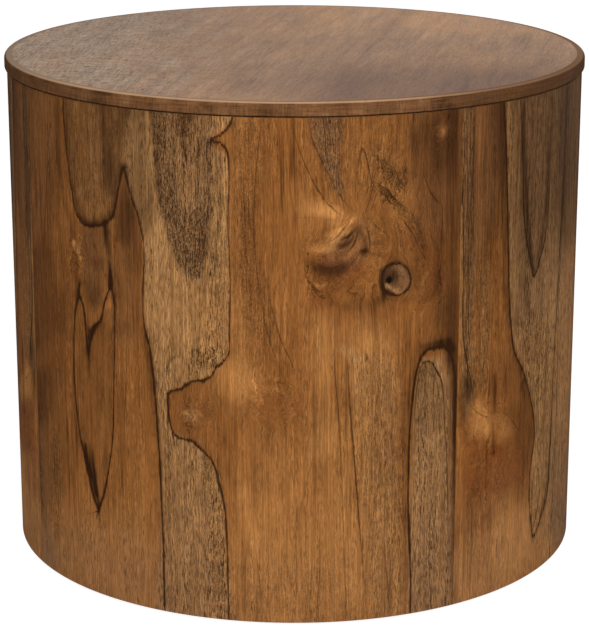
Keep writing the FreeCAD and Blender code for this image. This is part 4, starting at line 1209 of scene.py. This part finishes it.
face, start = begin("teak_top_face")
x, y, z = place_of(start)
across = x * math.cos(TOP_GRAIN_ANGLE) + y * math.sin(TOP_GRAIN_ANGLE)
along = y * math.cos(TOP_GRAIN_ANGLE) - x * math.sin(TOP_GRAIN_ANGLE)
marks = partial(start.marks, across, along)
fibre = marks(1.4, 20.0, seed=30.0, detail=3.0, rough=0.75)
thread = marks(1.8, 70.0, seed=31.0, detail=3.0)
streak = marks(8.0, 260.0, seed=32.0, detail=3.0)
band = marks(40.0, 500.0, seed=33.0, detail=2.0)
cloud = marks(30.0, 60.0, seed=34.0, detail=4.0)
ripple = marks(40.0, 5.0, seed=34.2, detail=3.0)
warm = marks(110.0, 260.0, seed=34.5, detail=2.0)
pore = marks(1.3, 14.0, seed=35.0, detail=3.0, rough=0.7)
mottle = marks(12.0, 130.0, seed=36.0, detail=4.0, rough=0.65)
open_side = x.step(-20.0, -220.0)
tone = thread * 0.15 + streak * 0.2 + band * 0.35 + cloud * 0.3
wood = tone.step(0.28, 0.5).mix(TOP_DEEP, TOP_MIDDLE)
wood = tone.step(0.48, 0.68).mix(wood, TOP_PALE)
wood = (warm.step(0.42, 0.62) * 0.8).mix(wood, TOP_WARM)
wood = ((cloud - 0.5) * 1.5 + open_side * 0.7).step(0.0, 1.0).mix(wood, TOP_GREY)
# Painted shade: towards its front right the top is darkened where the light falls off, unevenly with the
# wood's broad bands.
painted_front_right_shade = (y * -1).step(10.0, 200.0) * x.step(-80.0, 100.0)
wood = (painted_front_right_shade * (0.4 + band * 1.2)).mix(wood, TOP_DEEP)
off_streak = abs(across - TOP_STREAK_AT + (streak - 0.5) * 30) / TOP_STREAK_WIDTH
wood = (off_streak.step(1.0, 0.0) * 0.22).mix(wood, TOP_DEEP)
pores = pore.step(0.50, 0.62) * (0.22 + 0.6 * open_side)
wood = pores.mix(wood, TOP_DEEP)
# Painted sheen: towards its back, most at the back right, the top is made paler, as where it reflects the
# pale room.
painted_back_sheen = y.step(-20.0, 200.0) * (0.12 * x.step(-180.0, -60.0) + 0.26 * x.step(-20.0, 100.0))
shade = 1.13 + (fibre - 0.5) * 1.4 + (thread - 0.5) * 0.8 + (ripple - 0.5) * (open_side + 0.1) * 1.1
wood = wood.scaled(shade + (mottle - 0.5) * 1.2 + painted_back_sheen)
radius = (x * x + y * y).math("SQRT")
joint = (CORE_RADIUS * 1000 - radius).step(0.6, 0.1)
wood = (joint * 0.12).mix(wood, LEAF_TONES["growth_line"])
finish(start, wood, 0.42 + pores * 0.3 + thread * 0.08, fibre * 0.3 - pores - joint * 0.3, 0.0001,
       Specular_IOR_Level=0.05, Coat_Weight=0.01, Coat_Roughness=0.3)
dress(["top_face_veneer"], face)


# The lipping: four lengths of solid teak, bent and butted round the edge of the top, rounded over at
# the upper arris and eased at the lower one. Their grain runs round the edge.
UPPER_ROUND = 0.004
LOWER_ROUND = 0.0015
LIPPING_LENGTHS = 4
LIPPING_STEPS = 96
ROUND_STEPS = 6
DARK_BAND_ANGLE = -4.8
CRACK_ANGLE = 12.84
lipping_low, lipping_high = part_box("lipping_1")
TOP_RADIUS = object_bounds()[1].x
lipping_first = math.asin(lipping_low.x / TOP_RADIUS) if lipping_low.x < 0 else 0
LIPPING_DEEP = paint(72, 46, 27)
LIPPING_MIDDLE = paint(110, 74, 46)
LIPPING_PALE = paint(140, 99, 66)
# The colour of the painted highlight on the rounded upper arris.
LIPPING_HIGHLIGHT = paint(196, 152, 116)


def rounded(centre, radius, first, last):
    """Points round a quarter circle of a section."""
    points = []
    for step in range(ROUND_STEPS + 1):
        turn = math.radians(first + (last - first) * step / ROUND_STEPS)
        points.append((centre[0] + radius * math.cos(turn), centre[1] + radius * math.sin(turn)))
    return points


lipping_section = [(CORE_RADIUS, lipping_low.z)]
lipping_section += rounded((TOP_RADIUS - LOWER_ROUND, lipping_low.z + LOWER_ROUND), LOWER_ROUND, -90, 0)
lipping_section += rounded((TOP_RADIUS - UPPER_ROUND, lipping_high.z - UPPER_ROUND), UPPER_ROUND, 0, 90)
lipping_section += [(CORE_RADIUS, lipping_high.z)]

lipping_material, start = begin("teak_lipping")
rim = TOP_RADIUS * 1000
upper = lipping_high.z * 1000
x, y, z = place_of(start)
angle = x.math("ARCTAN2", y * -1) * (180 / math.pi)
turn = angle * (rim * math.pi / 180)
radius = (x * x + y * y).math("SQRT")
depth = z + radius
fibre = start.marks(depth, turn, 1.2, 5.0, seed=40.0, detail=3.0, rough=0.7)
thread = start.marks(depth, turn, 1.2, 30.0, seed=41.0, detail=3.0)
streak = start.marks(depth, turn, 3.0, 90.0, seed=42.0, detail=2.0)
cloud = start.marks(turn, z, 26.0, 40.0, seed=43.0, detail=4.0)
crossing = start.marks(turn, depth, 1.6, 16.0, seed=44.0, detail=2.0)
tone = thread * 0.25 + streak * 0.25 + cloud * 0.5
wood = tone.step(0.36, 0.52).mix(LIPPING_DEEP, LIPPING_MIDDLE)
wood = tone.step(0.50, 0.66).mix(wood, LIPPING_PALE)
shade = 1.0 + (fibre - 0.5) * 1.0 + (crossing - 0.5) * 1.4
wood = wood.scaled(shade)
dark_band = abs(angle - DARK_BAND_ANGLE).step(1.32, 0.66) * 0.3
right_end = angle.step(24.0, 30.0) * angle.step(100.0, 70.0) * (0.35 + (cloud - 0.5) * 2.0)
wood = dark_band.math("MAXIMUM", right_end).mix(wood, LIPPING_DEEP)
# Painted shade: the lipping's outer face is darkened at the sides of the drum, away from the front, where it
# turns from the light.
sides = abs(angle).step(20.0, 75.0) * abs(angle - 180).step(40.0, 70.0) * 0.55
wood = (sides * radius.step(rim - 4.0, rim - 1.0)).mix(wood, LIPPING_DEEP)
crown = z.step(upper - 1.4, upper - 0.2) * 0.95
# Painted shade: towards the front right the crown is darkened, as on the top's face, and the painted
# highlight below is weakened there.
painted_rim_shade = (x * 0.7 - y * 0.7).step(200.0, 290.0) * x.step(60.0, 200.0)
crowned = x.step(100.0, -160.0).mix(TOP_MIDDLE, TOP_GREY)
# Painted sheen: towards the back the crown is made paler, as on the top's face.
crowned = (y.step(40.0, 280.0) * 0.9).mix(crowned, TOP_PALE)
wood = crown.mix(wood, (painted_rim_shade * 0.6).mix(crowned, TOP_DEEP))
# Painted highlight: a pale line along the top of the rounded upper arris, fading towards the sides of the
# drum, standing in for the lamp's reflection.
painted_highlight = z.step(upper - 1.6, upper - 0.6) * (0.3 + cloud)
painted_highlight = painted_highlight * radius.step(rim - 5.0, rim - 3.5) * abs(angle).step(80.0, 40.0) * (1 - painted_rim_shade * 0.75)
wood = painted_highlight.mix(wood, LIPPING_HIGHLIGHT)
crack = abs(angle - CRACK_ANGLE + (fibre - 0.5) * 1.6).step(0.1, 0.03) * 0.5
joint = (radius - CORE_RADIUS * 1000).step(0.5, 0.0) * z.step(upper - 1.0, upper)
wood = (joint * 0.1).math("MAXIMUM", crack).mix(wood, LEAF_TONES["growth_line"])
finish(start, wood, 0.45 + thread * 0.12, thread - joint * 0.3 - crack, 0.00008, Specular_IOR_Level=0.0,
       Coat_Weight=0.02, Coat_Roughness=0.3)

quarter = 2 * math.pi / LIPPING_LENGTHS
for number in range(LIPPING_LENGTHS):
    name = f"lipping_{number + 1}"
    begins = lipping_first + number * quarter
    lip = piece_of(f"edge_{name}", section_spun(lipping_section, begins, quarter, LIPPING_STEPS))
    lip.data.materials.append(lipping_material)
    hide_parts(name)


# The floor: plain and pale, and wide enough for every view. The camera sees it nearly white, and it
# keeps the table's shadow.
FLOOR_RADIUS = 14.0
FLOOR_COLOUR = (0.9, 0.9, 0.9, 1)
FLOOR_GLOW = 0.86
FLOOR_SHADE = (0.42, 0.42, 0.42, 1)


def shown_to_camera(start):
    """1 for what the camera sees, straight or in a gloss, and 0 for light that falls on the object."""
    kinds = ("Is Camera Ray", "Is Glossy Ray", "Is Transmission Ray")
    straight, glossy, through = [start.node("LightPath", output=kind) for kind in kinds]
    return straight.math("MAXIMUM", glossy).math("MAXIMUM", through)


shape = bmesh.new()
bmesh.ops.create_circle(shape, cap_ends=True, segments=64, radius=FLOOR_RADIUS)
floor_mesh = bpy.data.meshes.new("floor")
shape.to_mesh(floor_mesh)
shape.free()
floor = bpy.data.objects.new("floor", floor_mesh)
bpy.context.scene.collection.objects.link(floor)
floor_material, start = begin("floor")
seen = shown_to_camera(start)
matt = start.node("BsdfDiffuse", inputs={"Color": FLOOR_COLOUR})
shade = start.node("BsdfDiffuse", inputs={"Color": FLOOR_SHADE})
glow = start.node("Emission", inputs={"Strength": FLOOR_GLOW})
pale = start.node("AddShader", inputs={0: shade, 1: glow})
start.node("OutputMaterial", inputs={"Surface": start.node("MixShader", inputs={0: seen, 1: matt, 2: pale})})
floor.data.materials.append(floor_material)


# The light: an even, pale room, a wide soft lamp from the front, and a small one low at the back right
# that gives the wall's right edge its sheen.
ROOM_LEVEL = 0.36
WHITE = (1, 1, 1, 1)

world = bpy.data.worlds.new("room")
world.use_nodes = True
world.node_tree.nodes.clear()
start = Wire(world.node_tree)
plain = start.node("Background", inputs={"Color": WHITE, "Strength": ROOM_LEVEL})
white = start.node("Background", inputs={"Color": WHITE, "Strength": 1.0})
seen = shown_to_camera(start)
start.node("OutputWorld", inputs={"Surface": start.node("MixShader", inputs={0: seen, 1: plain, 2: white})})
bpy.context.scene.world = world


def soft_lamp(name, place, aim, width, height, power):
    """A rectangular lamp that faces a point."""
    light = bpy.data.lights.new(name, "AREA")
    light.shape = "RECTANGLE"
    light.size = width
    light.size_y = height
    light.energy = power
    lamp = bpy.data.objects.new(name, light)
    lamp.location = place
    lamp.rotation_euler = (Vector(aim) - Vector(place)).to_track_quat("-Z", "Y").to_euler()
    bpy.context.scene.collection.objects.link(lamp)


soft_lamp("key", place=(0.2, -2.5, 1.9), aim=(0, 0, 0.3), width=1.3, height=1.1, power=54)
soft_lamp("edge", place=(1.9, 1.5, 0.3), aim=(0.2, 0, 0.1), width=0.4, height=0.6, power=4)

scene = bpy.context.scene
scene.view_settings.view_transform = "Standard"

bpy.context.view_layer.update()
